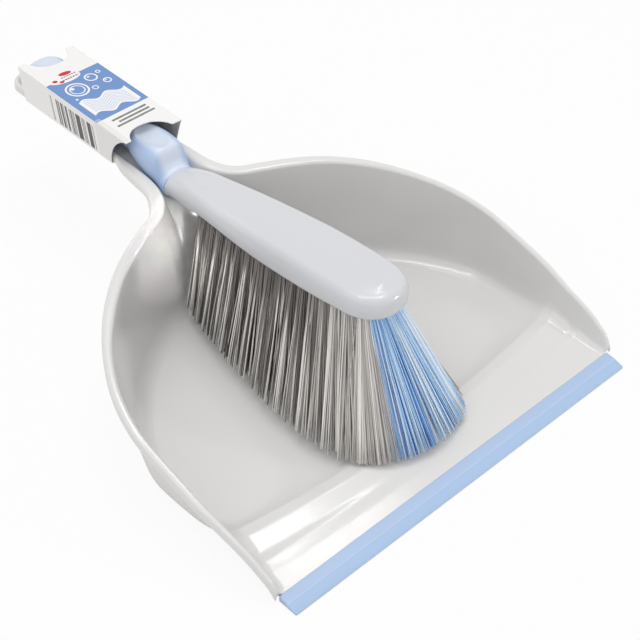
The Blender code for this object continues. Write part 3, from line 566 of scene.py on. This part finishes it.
def head_outline():
    """Plan outline from the collar to the toe, whose round is a superellipse."""
    collar = 1 - np.array([0, 0.0012, 0.003, 0.006, 0.011])
    share = np.r_[collar, np.linspace(0.98, 0.137, 72)]
    side = TOE_Y + (COLLAR_Y - TOE_Y) * share
    half = head_half(side)
    y0, r = side[-1] - 1 * MM, half[-1]
    a = np.radians(np.linspace(0, 90, 38)[1:])
    toe = np.stack([r * np.cos(a) ** 0.88, y0 - (y0 - TOE_Y) * np.sin(a) ** 0.92], 1)
    toe[-1, 0] = 0
    pts = np.concatenate([np.stack([half, side], 1), toe])
    d = np.gradient(pts, axis=0)
    nrm = unit(np.stack([-d[:, 1], d[:, 0]], 1))
    nrm[:5], nrm[-1] = (1, 0), (0, -1)
    return pts, nrm


def build_head(mat):
    """Head: the outline drawn in by a profile of inset against height.

    A point is outline - normal * inset, at the height low + (top - low) * f.
    Towards the collar the profile turns into the neck's superellipse, and the
    top is crowned as 1 - t^2 from the middle plane to the edge.
    """
    pts, nrm = head_outline()
    step, share = np.arange(9), np.linspace(0, 8, 73)
    inset = curve(step, [3.6, 1.3, 0.6, 0.2, 0, 0.8, 2.2, 3.8, 6.4], share) * MM
    part = curve(step, [0, 0, 0.05, 0.14, 0.38, 0.70, 0.89, 0.965, 1.0], share)
    nx, nz = unit_section(np.radians(curve(step, [-90, -62, -42, -20, 0, 25, 48, 68, 90], share)),
                          *NECK_POWERS)
    x, y = pts[:, :1], pts[:, 1:]
    blend = smooth(head_share(y), 0.875, 0.985)
    inset = inset * (1 - blend) + x * (1 - nx) * blend
    part = part * (1 - blend) + (1 + nz) / 2 * blend
    inset = np.minimum(inset, 0.97 * x + 6.4 * MM * smooth(-y, -70 * MM, -TOE_Y))
    end = np.zeros((len(pts), 1))
    end[:4, 0] = np.array([0.42, 0.15, 0.04, 0.01]) * MM       # eased edge at the collar
    p = np.maximum(x - nrm[:, :1] * inset - end * nx, 0)
    q = y - nrm[:, 1:] * inset
    side = np.stack([p, q, head_low(q) * (1 - part) + head_top(q) * part - end * nz], -1)
    middle = TOE_Y + 0.162 * (COLLAR_Y - TOE_Y)
    sy = np.maximum(y, middle - 0.6 * (middle - y))
    under = np.stack([0 * sy, sy, head_low(sy) + end], -1)
    ridge = np.stack([0 * sy, sy, head_top(sy) + HEAD_CROWN * (1 - blend) - end], -1)
    t = np.linspace(0, 1, 16)[None, 1:, None]
    edge, arch = side[:, -1:], 1 - (1 - t) ** 2
    crown = np.concatenate([edge[..., :1] * (1 - t), lerp(edge[..., 1:2], ridge[..., 1:2], arch),
                            lerp(edge[..., 2:], ridge[..., 2:], arch)], -1)
    half = np.concatenate([under, side, crown], 1)
    half[-1, :, 0] = 0
    ring = np.concatenate([half, half[:, -2:0:-1] * (-1, 1, 1)], 1)
    n, m = ring.shape[:2]
    piece("head_shell", put(ring), grid_faces(n, m, wrap=True), mat, "brush",
          ["brush_head"], caps=end_caps(n, m)[:1], weld=2e-6, sharp=50)


def grip_rows():
    """Control sections of the grip: y, half width, low, high, squareness below
    and above."""
    t, c, k, g = in_mm(TRAY_FLOOR, COLLAR_Y + 0.05 * MM, NECK_HALF, GRIP_HALF)
    low, top, end = in_mm(TRAY_FLOOR + GAP, GRIP_TOP, GRIP_END)
    pl, ph = NECK_POWERS
    pad = c + 27
    r = (end - 15 - pad) / 83.2             # a millimetre that stretches with the grip
    return np.array([
        (c, k - 0.5, t - 9.4, t + 4.4, pl, ph),
        (c + 0.3, k - 0.12, t - 9.7, t + 4.65, pl, ph),
        (c + 0.9, k, t - 9.8, t + 4.75, pl, ph),
        (c + 3, k + 0.1, t - 9.2, t + 5.7, pl, ph),
        (c + 4.5, k + 0.2, t - 8.4, t + 8.4, pl, 2.2),
        (c + 5.7, k + 0.4, t - 7.7, t + 12, pl, 2.4),
        (c + 6.8, k + 0.6, t - 7.2, t + 14.5, pl, 2.5),
        (c + 8.7, k + 0.9, t - 6.3, t + 15.8, pl, 2.8),
        (c + 13.5, k + 1.2, t - 4.9, t + 16.3, 3.1, 3.1),
        (c + 20, k + 0.9, t - 2.3, t + 16.5, pl, 3.3),
        (pad, k - 0.3, t - 0.5, t + 16.7, 2.8, 3.2),
        (pad + 7 * r, k - 2, low, t + 16.6, 2.2, 2.6),
        (pad + 18 * r, k - 1.7, low, top - 1, 2.2, 2.4),
        (pad + 33 * r, g - 1.2, low, top - 0.4, 2.4, 2.4),
        (pad + 53 * r, g, low, top, 2.5, 2.5),
        (end - 15, g, low, top - 0.6, 2.5, 2.5),
        (end - 7, g - 0.5, low, top - 2.4, 2.4, 2.4),
        (end - 3, g - 1.8, low + 0.8, top - 4.6, 2.3, 2.3),
        (end - 0.9, g - 3.8, low + 2.3, top - 7, 2.2, 2.2),
        (end, g - 6, low + 4.4, top - 9.2, 2.2, 2.2),
    ]) * (MM, MM, MM, MM, 1, 1)


def even_section(below, above, quarter=34):
    """Superellipse sections, each quarter shared out evenly along its length."""
    fine = np.linspace(0, math.pi / 2, 240)
    out = []
    for start, power in ((0, above), (1, above), (2, below), (3, below)):
        c, s = np.cos(fine) ** (2 / power), np.sin(fine) ** (2 / power)
        if start % 2:
            c, s = c[:, ::-1], s[:, ::-1]
        run = np.cumsum(np.hypot(np.diff(c, prepend=c[:, :1]), np.diff(s, prepend=s[:, :1])), 1)
        want = run[:, -1:] * np.arange(quarter) / quarter
        x = np.stack([np.interp(w, r, v) for w, r, v in zip(want, run, c)])
        z = np.stack([np.interp(w, r, v) for w, r, v in zip(want, run, s)])
        out.append((x * (1, -1, -1, 1)[start], z * (1, 1, -1, -1)[start]))
    return (np.concatenate([o[k] for o in out], 1) for k in (0, 1))


def build_grip(mat):
    """Grip: superellipse sections |x/a|^p + |z/b|^p = 1 along Y.

    The thumb pad's dish is a height over the scaled radius r from its middle,
    and the surface is the smooth minimum of the section and the dish, so the
    dish's edge is rounded where the two heights are within a millimetre.
    """
    rows = grip_rows()
    first, pad0, pad1, tail = rows[0, 0], PAD_Y - 17 * MM, PAD_Y + 17 * MM, GRIP_END - 16 * MM
    y = np.unique(np.concatenate([rows[:, 0], np.linspace(first, first + 12 * MM, 40),
                                  np.arange(pad0, pad1, 0.35 * MM), np.linspace(pad1, tail, 30),
                                  np.linspace(tail, GRIP_END, 26)]))
    half, low, high, below, above = (curve(rows[:, 0], rows[:, k], y)[:, None] for k in range(1, 6))
    c, s = even_section(below, above)
    x, z = c * half, (low + high) / 2 + s * (high - low) / 2
    yy = np.broadcast_to(y[:, None], x.shape)
    r = np.hypot(x / PAD_HALF, (yy - PAD_Y) / PAD_LONG)
    rise = curve([0, 0.25, 0.5, 0.7, 0.85, 1.0, 1.1, 1.2],
                 [14.1, 14.15, 14.45, 15.0, 15.9, 17.2, 18.6, 20.4], np.minimum(r, 1.2))
    dish, edge = TRAY_FLOOR + MM * rise, 1.1 * MM
    h = np.clip(0.5 + 0.5 * (z - dish) / edge, 0, 1)
    z = np.where(s > 0, z * (1 - h) + dish * h - edge * h * (1 - h), z)
    ring = np.stack([x, yy, z], -1)
    n, m = ring.shape[:2]
    piece("grip_shell", put(ring), grid_faces(n, m, wrap=True), mat, "brush",
          ["brush_grip"], caps=end_caps(n, m), weld=1e-6, sharp=60)


# ---- bristles ---------------------------------------------
SIDE_COLUMNS, TOE_TUFTS, TOE_GREY = 15, 5, 1
STRANDS, STRAND_R, STRAND_WAVE = 150, 0.31 * MM, 0.16 * MM
GOLDEN_TURN = 2.39996                   # radians from one strand of a tuft to the next
CORNER_PULL = np.array([-7.5, -5.5]) * MM


def root_point(u, v):
    """Where a bristle leaves the head: u across, v from the heel to the toe."""
    heel, toe = TOE_Y + 0.852 * (COLLAR_Y - TOE_Y), TOE_Y + 10.3 * MM
    y = heel + (toe - heel) * v + 4.5 * MM * smooth(v, 0.6, 1.0) * u * u
    edge = HEAD_HALF / 18 * curve([0, 0.3, 0.6, 0.85, 0.95, 1.0], [3.7, 3.8, 3.9, 4.2, 4.8, 5.4], v)
    return np.stack([u * (head_half(y) - edge), y], -1)


def tip_point(u, v):
    """Where it ends, in the plane of the tips."""
    vs = [0.0, 0.1, 0.3, 0.5, 0.7, 0.85, 0.95, 1.0]
    half = np.array([27.5, 30.5, 36.5, 41.5, 44.5, 43.6, 39.0, 34.0]) * MM
    mid = TOE_Y + (COLLAR_Y - TOE_Y) * np.array([0.803, 0.7225, 0.5315, 0.334, 0.1275, -0.0325,
                                                 -0.1435, -0.191])
    bow = np.array([-3, -2, 0, 1.5, 4, 8, 11.2, 12.6]) * MM
    return np.stack([u * curve(vs, half, v), curve(vs, mid, v) + curve(vs, bow, v) * u * u], -1)


def tuft_cells():
    """Cells (u0, u1, v0, v1, colour) that share out the field of bristles."""
    cells, toe_v, third = [], 0.935, (-1.0, -0.36, 0.36, 1.0)
    for row in range(3):
        edges = np.linspace(0.0, toe_v, SIDE_COLUMNS - (row == 1) + 1)
        cells += [(third[row], third[row + 1], a, b, "grey") for a, b in zip(edges, edges[1:])]
    edges = np.r_[-1, np.linspace(-0.66, 1, TOE_TUFTS)]
    for k, (a, b) in enumerate(zip(edges, edges[1:])):
        cells.append((a, b, toe_v, 1.0, "grey" if k < TOE_GREY else "blue"))
    return cells


def strand_paths(cell, rng):
    """Root, knee and tip of one tuft's strands, each a quadratic curve.

    Strand k of n stands at the angle k * GOLDEN_TURN and the radius sqrt(k / n), as
    seeds do in a sunflower.  Roots fill an oval that meets the next tuft's, tips fill
    the cell, and the knee lies near the straight line between them.  Tips at the
    toe's +X corner are drawn in and forward, so that the fan ends in a point there.
    """
    u0, u1, v0, v1, _ = cell
    n = STRANDS
    uc, vc = (u0 + u1) / 2, (v0 + v1) / 2
    k = np.arange(n) + 0.5
    ang, rad = k * GOLDEN_TURN, np.sqrt(k / n)
    cu, cv = rad * np.cos(ang), rad * np.sin(ang)
    toe = v1 == 1.0
    ru = lerp(uc, 0.12 + 0.8 * uc, 0.75) if toe else uc     # the toe's tufts crowd to +X
    wide, long = (2.6, 1.9) if toe else (1.7, 3.6)
    root = root_point(ru, vc) + np.stack([cu * wide, -cv * long], 1) * MM
    uu = np.clip(uc + (u1 - u0) / 2 * (cu * 1.14 + rng.normal(0, 0.1, n)), -1.01, 1.01)
    vv = np.clip(vc + (v1 - v0) / 2 * (cv * 1.2 + rng.normal(0, 0.34, n)), -0.005, 1.004)
    corner = smooth(uu, 0.5, 1.0) * smooth(vv, 0.4, 0.8)
    tip = tip_point(uu, lerp(vv, 1.0, 0.6 * corner * toe)) + corner[:, None] * CORNER_PULL
    z0 = head_low(root[:, 1]) + 1.0 * MM
    z1 = TIP_Z + rng.normal(0.2, 0.35, n).clip(-0.5, 1.1) * MM
    start, end = np.c_[root, z0], np.c_[tip, z1]
    knee = lerp(start, end, 0.42) + rng.normal(0, 0.3 * MM, (n, 3))
    return start, knee, end


def strand_mesh(start, knee, end, rng):
    """Tapering four-sided strands along the curves (1-s)^2 start + 2s(1-s) knee
    + s^2 end, each with a slight wave, and the share s of every point."""
    s = np.array([0, 0.12, 0.2, 0.3, 0.42, 0.65, 0.85, 1.0])[None, :, None]
    n, m = len(start), s.shape[1]
    path = (1 - s) ** 2 * start[:, None] + 2 * s * (1 - s) * knee[:, None] + s * s * end[:, None]
    wave = np.sin(s * rng.uniform(3, 7, (n, 1, 1)) + rng.uniform(0, 6.3, (n, 1, 1)))
    path = path + wave * s * rng.normal(0, STRAND_WAVE, (n, 1, 3)) * (1, 1, 0)
    t = unit(np.gradient(path, axis=1))
    turn = rng.uniform(0, 2 * math.pi, (n, 1, 1))
    side = unit(np.cross(t, np.concatenate([np.cos(turn), np.sin(turn), 0 * turn], -1)))
    other = np.cross(t, side)
    a = np.radians([0, 90, 180, 270])[None, None, :, None]
    r = (STRAND_R * (1 - 0.16 * s ** 2))[..., None] * rng.uniform(0.8, 1.3, (n, 1, 1, 1))
    ring = path[:, :, None] + r * (side[:, :, None] * np.cos(a) + other[:, :, None] * np.sin(a))
    ends = np.array([[3, 2, 1, 0], [4 * m - 4, 4 * m - 3, 4 * m - 2, 4 * m - 1]])
    one = np.concatenate([grid_faces(m, 4, wrap=True), ends])
    quads = (one[None] + (np.arange(n) * 4 * m)[:, None, None]).reshape(-1, 4)
    along = np.broadcast_to(s[..., 0][..., None], (n, m, 4))
    return ring.reshape(-1, 3), quads, along


def strand_tones(cell, end, along, rng):
    """Tone of every point: wisps of neighbouring strands are light or dark together.

    The wisps are two sine waves of the tip's place along the row, sharpened to
    light and dark by tanh.  Grey strands are darker and more marked at the heel
    than at the toe, and darken towards their roots as painted shade under the head,
    the heel's for longer.  Blue ones are pale, with dark streaks where a wisp is at
    its lowest, and a little painted shade at their roots.
    """
    v = (cell[2] + cell[3]) / 2
    run = end[:, 1] / MM + 0.35 * end[:, 0] / MM
    wisp = np.sin(run * 1.35 + rng.uniform(0, 6.3)) + 0.8 * np.sin(run * 0.71 + 1.7)
    wisp = np.tanh(2.0 * wisp + rng.normal(0, 0.7, len(run)))
    if cell[4] == "grey":
        fair = smooth(v, 0.55, 0.97)
        tone = 0.50 + 0.38 * fair + wisp * (0.50 - 0.28 * fair)
        # painted shade: how deeply the strands darken towards their roots, where the head shades
        # them
        shade = 0.85 * (1 - fair)
        reach = (0.40 + 0.11 * np.sin(run * 1.1 + 2) - 0.06 * wisp
                 + 0.04 * rng.normal(0, 1, len(run)))[:, None, None]
    else:
        tone = (0.80 + 0.22 * wisp - 0.45 * smooth(-wisp, 0.975, 1.0)
                + rng.normal(0, 0.12, len(run)))
        shade, reach = 0.2, 0.2
    tone = (tone + rng.normal(0, 0.06, len(run))).clip(0.02, 1)[:, None, None]
    # painted shade near the roots, lifting beyond reach along the strand
    lit = smooth(along, reach - 0.05, reach + 0.09)
    return tone * (1 - shade + shade * lit) + 0.16 * shade * (1 - lit)


def build_bristles(mats):
    """One piece for each tuft, from its hole to its tips."""
    for k, cell in enumerate(tuft_cells()):
        rng = np.random.default_rng(1000 + k)
        start, knee, end = strand_paths(cell, rng)
        points, quads, along = strand_mesh(start, knee, end, rng)
        tone = strand_tones(cell, end, along, rng)
        obj = piece(f"bristles_{k + 1:02d}_{cell[4]}", put(points), quads, mats[cell[4]], "brush",
                    [f"tuft_{k + 1:02d}_{cell[4]}"])
        layer = obj.data.attributes.new("tone", "FLOAT", "POINT")
        layer.data.foreach_set("value", tone.astype(np.float32).ravel())


# ---- carton sleeve ----------------------------------------
CARD = 0.5 * MM
SLEEVE_Y0, SLEEVE_Y1 = NECK_Y + 22 * MM, TRAY_END - 20 * MM
SLEEVE_TL = (-TRAY_HALF - TRAY_FLANGE - 3.2 * MM, GRIP_TOP + 3.9 * MM)
SLEEVE_TR = (TRAY_HALF + TRAY_FLANGE + 2.8 * MM, GRIP_TOP + 0.6 * MM)
SLEEVE_LEAN, SLEEVE_SIDE = 2.1 * MM, GRIP_TOP - TRAY_UNDER + 4.6 * MM
ARCH_HALF, ARCH_DEEP, SIDE_ARCH, SLANT = 13.5 * MM, 9.5 * MM, 18 * MM, 10 * MM
FOLD = 0.8 * MM


def sleeve_ring(inset, per_side=(72, 48, 40, 48), corner=6):
    """Section with rounded folds: points, and the side and place along it."""
    tl, tr = np.array(SLEEVE_TL), np.array(SLEEVE_TR)
    down = np.array([SLEEVE_LEAN, -math.sqrt(SLEEVE_SIDE ** 2 - SLEEVE_LEAN ** 2)])
    corners = [tl, tr, tr + down, tl + down]
    pts, side_of, share = [], [], []
    for k in range(4):
        a, b, nxt = corners[k], corners[(k + 1) % 4], corners[(k + 2) % 4]
        along, turn = unit(b - a), unit(nxt - b)
        inward, onward = np.array([along[1], -along[0]]), np.array([turn[1], -turn[0]])
        length = np.linalg.norm(b - a)
        f = np.linspace(FOLD / length, 1 - FOLD / length, per_side[k])
        pts.append(a + along * (f * length)[:, None] + inward * inset)
        side_of.append(np.full(len(f), k))
        share.append(f)
        s = np.linspace(0, 1, corner + 2)[1:-1, None]
        p0 = b - along * FOLD + inward * inset
        p1 = b + turn * FOLD + onward * inset
        mid = b + (inward + onward) * inset
        pts.append((1 - s) ** 2 * p0 + 2 * s * (1 - s) * mid + s * s * p1)
        past = s[:, 0] > 0.5
        side_of.append(np.where(past, (k + 1) % 4, k))
        share.append(np.where(past, 0.0, 1.0))
    return np.concatenate(pts), np.concatenate(side_of), np.concatenate(share)


def sleeve_ends(side, f):
    """How far the card is cut back at the front and the back, by side and place."""
    width = math.hypot(SLEEVE_TR[0] - SLEEVE_TL[0], SLEEVE_TR[1] - SLEEVE_TL[1])
    x = (f - 0.5) * width
    s = np.minimum(np.abs(x + 1.5 * MM) / ARCH_HALF, 1)
    top = ARCH_DEEP * (1 - s ** 2.4) ** 0.7
    left = SIDE_ARCH * (1 - f ** 1.9) ** 0.75
    under = lerp(SLANT, SIDE_ARCH, smooth(f, 0, 1))
    front = np.choose(side, [top, SLANT * f ** 0.9, under, left])
    s = np.minimum(np.abs(x + 0.3 * MM) / ARCH_HALF, 1)
    back = np.where(side == 0, (ARCH_DEEP + 1.2 * MM) * (1 - s ** 2.4) ** 0.7, 0.0)
    return front, back


def build_sleeve(outside, inside):
    """Card tube: the section carried along Y between its two cut ends."""
    outer, side, f = sleeve_ring(0.0)
    inner, _, _ = sleeve_ring(CARD)
    front, back = sleeve_ends(side, f)
    s = np.linspace(0, 1, 56)[:, None]
    y = (SLEEVE_Y0 + front) * (1 - s) + (SLEEVE_Y1 - back) * s
    rings = [np.stack([np.broadcast_to(r[:, 0], y.shape), y, np.broadcast_to(r[:, 1], y.shape)], -1)
             for r in (outer, inner)]
    n, m = y.shape
    base, last = n * m, (n - 1) * m
    j = np.arange(m)
    k = (j + 1) % m
    front_lip = np.stack([j, base + j, base + k, k], 1)
    back_lip = np.stack([j, k, base + k, base + j], 1) + last
    walls = grid_faces(n, m, wrap=True), grid_faces(n, m, wrap=True, flip=True) + base
    quads = np.concatenate([*walls, front_lip, back_lip])
    obj = piece("sleeve_card", put(rings), quads, outside, "sleeve", ["carton_sleeve"],
                weld=1e-7, sharp=40)
    obj.data.materials.append(inside)
    faces = np.zeros(len(obj.data.polygons), np.int32)
    faces[last:2 * last] = 1                        # the inner wall comes second
    obj.data.polygons.foreach_set("material_index", faces)


# ---- finishes ---------------------------------------------
# the drawing on the panel, in mm: x, y, radius and half width of rings, x, y and radius of dots
BUBBLES = [(-7.5, 291.0, 6.2, 0.55), (-7.5, 291.0, 4.1, 0.35), (6.0, 297.0, 3.4, 0.45),
           (11.6, 289.5, 2.1, 0.4), (1.8, 287.2, 1.6, 0.35), (12.6, 299.6, 1.2, 0.35)]
DOTS = [(-9.4, 293.0, 1.2), (5.0, 298.2, 0.8), (11.1, 290.3, 0.55), (-13.6, 283.0, 0.8)]


def card_material():
    """Coated card with its print, drawn in millimetres from the lip's front edge:
    a blue panel with bubbles and waves, a small mark behind it, ruled stripes
    before it, a run of bars on the left side, and painted shade over a glued flap
    and along its fold."""
    g = Graph("printed_card", Specular_IOR_Level=0.35)
    x, y, z = g.parts(g.coords())
    x, y, z = x * 1000, (y - FRONT) * 1000, z * 1000
    white, blue, sky = (0.86, 0.86, 0.862), (0.150, 0.275, 0.575), (0.47, 0.58, 0.82)
    red, ink = (0.62, 0.012, 0.03), (0.045, 0.04, 0.04)
    panel_front, panel_back, flap_back = 260.3, 305.2, 261.0
    top = ((z - 83.75) + x * 0.088).over(-0.55, 0.1)        # the tilted top side
    left = (x * -1).over(15.6)
    slant = y - x * 0.09                                    # print sits a little askew
    # blue panel and its white drawing
    panel = slant.within(panel_front, panel_back, 0.1) * top
    colour = g.mix(panel, white, blue)
    art = None
    for cx, cy, r, w in BUBBLES:
        ring = abs(g.distance(x, y, cx, cy) - r).under(w, 0.15)
        art = ring if art is None else art | ring
    for cx, cy, r in DOTS:
        art = art | g.distance(x, y, cx, cy).under(r, 0.15)
    wave = y - (x * 0.42).math("SINE") * 1.7
    sea = wave.within(264.6, 279.5, 0.15)
    art = art | sea * x.within(-15.2, 15.0, 0.15)
    colour = g.mix(art * panel, colour, white)
    pale = (wave * 0.62).math("FRACT").under(0.34, 0.12) * wave.within(266.2, 277.9, 0.1)
    colour = g.mix(pale * panel * x.within(-13.0, 12.6, 0.3), colour, sky)
    # small mark beside the panel, in red and dark
    mark = g.distance(x, y, -3.0, 308.6, 2.4).under(1.7, 0.15)
    for cx, cy, r in ((-12.4, 304.6, 1.25), (-9.4, 302.2, 1.1)):
        mark = mark | g.distance(x, y, cx, cy, 1.3).under(r, 0.12)
    halo = g.distance(x, y, -6.0, 304.4, 2.5).under(4.0, 0.15) * top
    colour = g.mix(halo, colour, white)
    colour = g.mix(mark * top, colour, red)
    dashes = (x * 0.55 + y * 0.2).math("FRACT").under(0.66, 0.1)
    strokes = abs(slant - 303.6).under(0.5, 0.12) | abs(slant - 306.2).under(0.4, 0.12)
    strokes = strokes * dashes * x.within(-8.2, 2.6, 0.1)
    colour = g.mix(strokes * top, colour, ink)
    # three ruled stripes
    rule = None
    for at, lo, hi in ((256.2, -11.5, 12.5), (253.2, -9.0, 12.5), (250.2, -12.5, 14.0)):
        line = abs(slant - at).under(0.78, 0.2) * x.within(lo, hi, 0.2)
        rule = line if rule is None else rule | line
    grain = g.noise(900.0, 1.0)
    colour = g.mix(rule * top * (grain * 0.5 + 0.55), colour, ink)
    # bars: each narrow cell along Y is either ink or bare, 1.7 cells to a millimetre
    cell = (y * 1.7).math("FLOOR")
    pick = g.add("ShaderNodeTexWhiteNoise", {"noise_dimensions": "1D"}, {"W": cell})
    bars = pick.under(0.56) * y.within(263.6, 302.6) * z.within(63.2, 80.4) * left
    colour = g.mix(bars, colour, (0.10, 0.085, 0.08))
    # the glued flap painted greyer as shade, and painted shade along its fold
    # painted shade: the left side ahead of the fold is drawn greyer
    flap_shade = left * y.under(flap_back, 0.2)
    colour = g.mix(flap_shade * 0.4125, colour, (0.70, 0.685, 0.69))
    # painted shade: a dark line along the fold
    shaded_crease = abs(y - flap_back).under(0.28, 0.2) * left
    fibre = g.noise(1500.0, 4.0, rough=0.7)
    g.set(Base_Color=g.mix(shaded_crease * 0.22, colour, (0.52, 0.51, 0.51)),
          Roughness=0.34 + fibre * 0.14, Normal=g.bump(fibre - shaded_crease * 0.5, 0.08, 0.0002))
    return g.mat


def greyboard():
    """Uncoated inner side of the carton: grey-brown pulp with darker flecks."""
    g = Graph("carton_greyboard", Roughness=0.9, Specular_IOR_Level=0.2)
    flecks = g.noise(2600.0, 2.0).over(0.66, 0.08)
    pulp = g.noise(420.0, 5.0, rough=0.7)
    colour = g.mix(pulp, (0.62, 0.59, 0.565), (0.78, 0.75, 0.72))
    g.set(Base_Color=g.mix(flecks * 0.5, colour, (0.2, 0.18, 0.16)),
          Normal=g.bump(pulp, 0.2, 0.0003))
    return g.mat


def finishes():
    """The four moulded plastics and the two colours of bristle."""
    pan = moulded("pale_grey_plastic", (0.745, 0.745, 0.74), (0.72, 0.72, 0.715), 0.13, 900.0)
    head = moulded("cool_grey_plastic", (0.655, 0.667, 0.70), (0.64, 0.652, 0.685), 0.17, 900.0)
    # the lip's front face gets painted shade, and its crease 6 mm behind the front edge gets a
    # painted highlight line
    lip = moulded("soft_blue_lip", (0.425, 0.555, 0.79), (0.405, 0.535, 0.77), 0.45, 1400.0,
                  highlight_crease=6.0)
    # the grip's top colour is painted light along its middle
    grip = moulded("soft_blue_grip", (0.43, 0.56, 0.80), (0.41, 0.54, 0.78), 0.36, 1400.0,
                   top=(0.66, 0.73, 0.86))
    grey = bristle_material("grey_bristle_strands", (0.060, 0.052, 0.047), (0.40, 0.38, 0.36),
                            (0.93, 0.91, 0.88))
    blue = bristle_material("blue_bristle_strands", (0.008, 0.15, 0.58), (0.40, 0.68, 1.0),
                            (0.88, 0.94, 1.0))
    return pan, head, lip, grip, grey, blue


# ---- studio -----------------------------------------------
# name, place, aim, size, watts and colour of the lamps
LAMPS = [
    ("overhead", (0.16, 0.22, 1.3), (0, 0, 0), (0.85, 0.75), 2.1, (1.0, 0.997, 0.99)),
    ("front_left", (-0.5, -0.25, 1.2), (0, 0.02, 0.02), (1.1, 1.1), 1.7),
    ("left_high", (-1.05, 0.25, 0.85), (0, 0, 0.03), (0.9, 0.8), 2.0),
    ("strip", (0.06, 0.24, 1.25), (0.06, 0.2, 0), (1.2, 0.07), 2.1),
    ("front_low", (0.62, -0.93, 0.4), (0, 0.0, 0.07), (0.12, 0.05), 1.5),
    ("small_key", (0.38, 0.06, 1.2), (0, 0.05, 0), (0.15, 0.1), 0.7),
]
SPOUT_LAMP = "spout_fill", (-0.3, -0.75, 0.5), (-0.024, FRONT + 0.2, 0.042), (0.03, 0.03), 0.006
SPOUT_SPREAD = 2.5                      # degrees, through a grid
SURROUND, BACKDROP = 0.62, 1.0          # strength of the world as light, and as seen


def area(name, place, aim, size, power, colour=(1, 1, 1)):
    lamp = bpy.data.lights.new(name, "AREA")
    lamp.shape, lamp.size, lamp.size_y = "RECTANGLE", size[0], size[1]
    lamp.energy, lamp.color = power, colour
    obj = bpy.data.objects.new(name, lamp)
    bpy.context.scene.collection.objects.link(obj)
    obj.location = place
    obj.rotation_euler = (Vector(aim) - Vector(place)).to_track_quat("-Z", "Y").to_euler()
    return obj


def paper_floor():
    """Pale floor that keeps a faint shadow and reads as white."""
    g = Graph("studio_paper", Base_Color=(0.86, 0.86, 0.86), Roughness=0.9)
    rays = g.add("ShaderNodeLightPath")
    glow = g.add("ShaderNodeEmission", inputs={"Color": (1, 1, 1), "Strength": 1.0})
    seen = rays.socket.node.outputs["Is Camera Ray"]
    mix = g.add("ShaderNodeMixShader", inputs={0: Shade(g, seen) * 0.9,
                                               1: Shade(g, g.shader.outputs[0]), 2: glow})
    g.tree.links.new(mix.socket, g.tree.nodes["Material Output"].inputs["Surface"])
    mesh = bpy.data.meshes.new("studio_floor")
    half = 3.0
    corners = [(-half, -half, 0), (half, -half, 0), (half, half, 0), (-half, half, 0)]
    mesh.from_pydata(corners, [], [(0, 1, 2, 3)])
    mesh.materials.append(g.mat)
    floor = bpy.data.objects.new("studio_floor", mesh)
    floor.location.z = -0.0002
    bpy.context.scene.collection.objects.link(floor)


def studio_world():
    """Dim surround for light, white for what the camera and reflections see."""
    world = bpy.data.worlds.new("studio")
    bpy.context.scene.world = world
    world.use_nodes = True
    nodes, links = world.node_tree.nodes, world.node_tree.links
    back = nodes["Background"]
    back.inputs["Color"].default_value = (1.0, 0.985, 0.97, 1)
    rays = nodes.new("ShaderNodeLightPath")
    seen = nodes.new("ShaderNodeMath")
    seen.operation = "MAXIMUM"
    links.new(rays.outputs["Is Camera Ray"], seen.inputs[0])
    links.new(rays.outputs["Is Glossy Ray"], seen.inputs[1])
    strength = nodes.new("ShaderNodeMix")
    strength.inputs[2].default_value, strength.inputs[3].default_value = SURROUND, BACKDROP
    links.new(seen.outputs[0], strength.inputs[0])
    links.new(strength.outputs[0], back.inputs["Strength"])


def camera():
    """Camera at the viewing angle: from the lip's left, above, with a long lens."""
    place = Vector((-0.40625, -0.32614 + FRONT, 0.59247))
    right = Vector((0.72952, -0.68396, 0.0))
    ahead = Vector((0.49854, 0.53176, -0.68461)).normalized()
    up = right.cross(ahead)
    turn = Matrix((right, up, -ahead)).transposed()
    cam = bpy.data.cameras.new("camera")
    cam.lens, cam.sensor_width = 91.0, 36.0
    cam.clip_start, cam.clip_end = 0.01, 20
    obj = bpy.data.objects.new("camera", cam)
    obj.matrix_world = Matrix.Translation(place) @ turn.to_4x4()
    bpy.context.scene.collection.objects.link(obj)
    bpy.context.scene.camera = obj


def studio():
    paper_floor()
    studio_world()
    for lamp in LAMPS:
        area(*lamp)
    area(*SPOUT_LAMP).data.spread = math.radians(SPOUT_SPREAD)
    camera()
    bpy.context.scene.view_settings.view_transform = "Standard"


# ---- making -----------------------------------------------
def main():
    pan, head, lip, grip, grey, blue = finishes()
    build_pan(pan)
    build_lip(lip)
    build_head(head)
    build_grip(grip)
    build_bristles({"grey": grey, "blue": blue})
    build_sleeve(card_material(), greyboard())
    studio()


main()
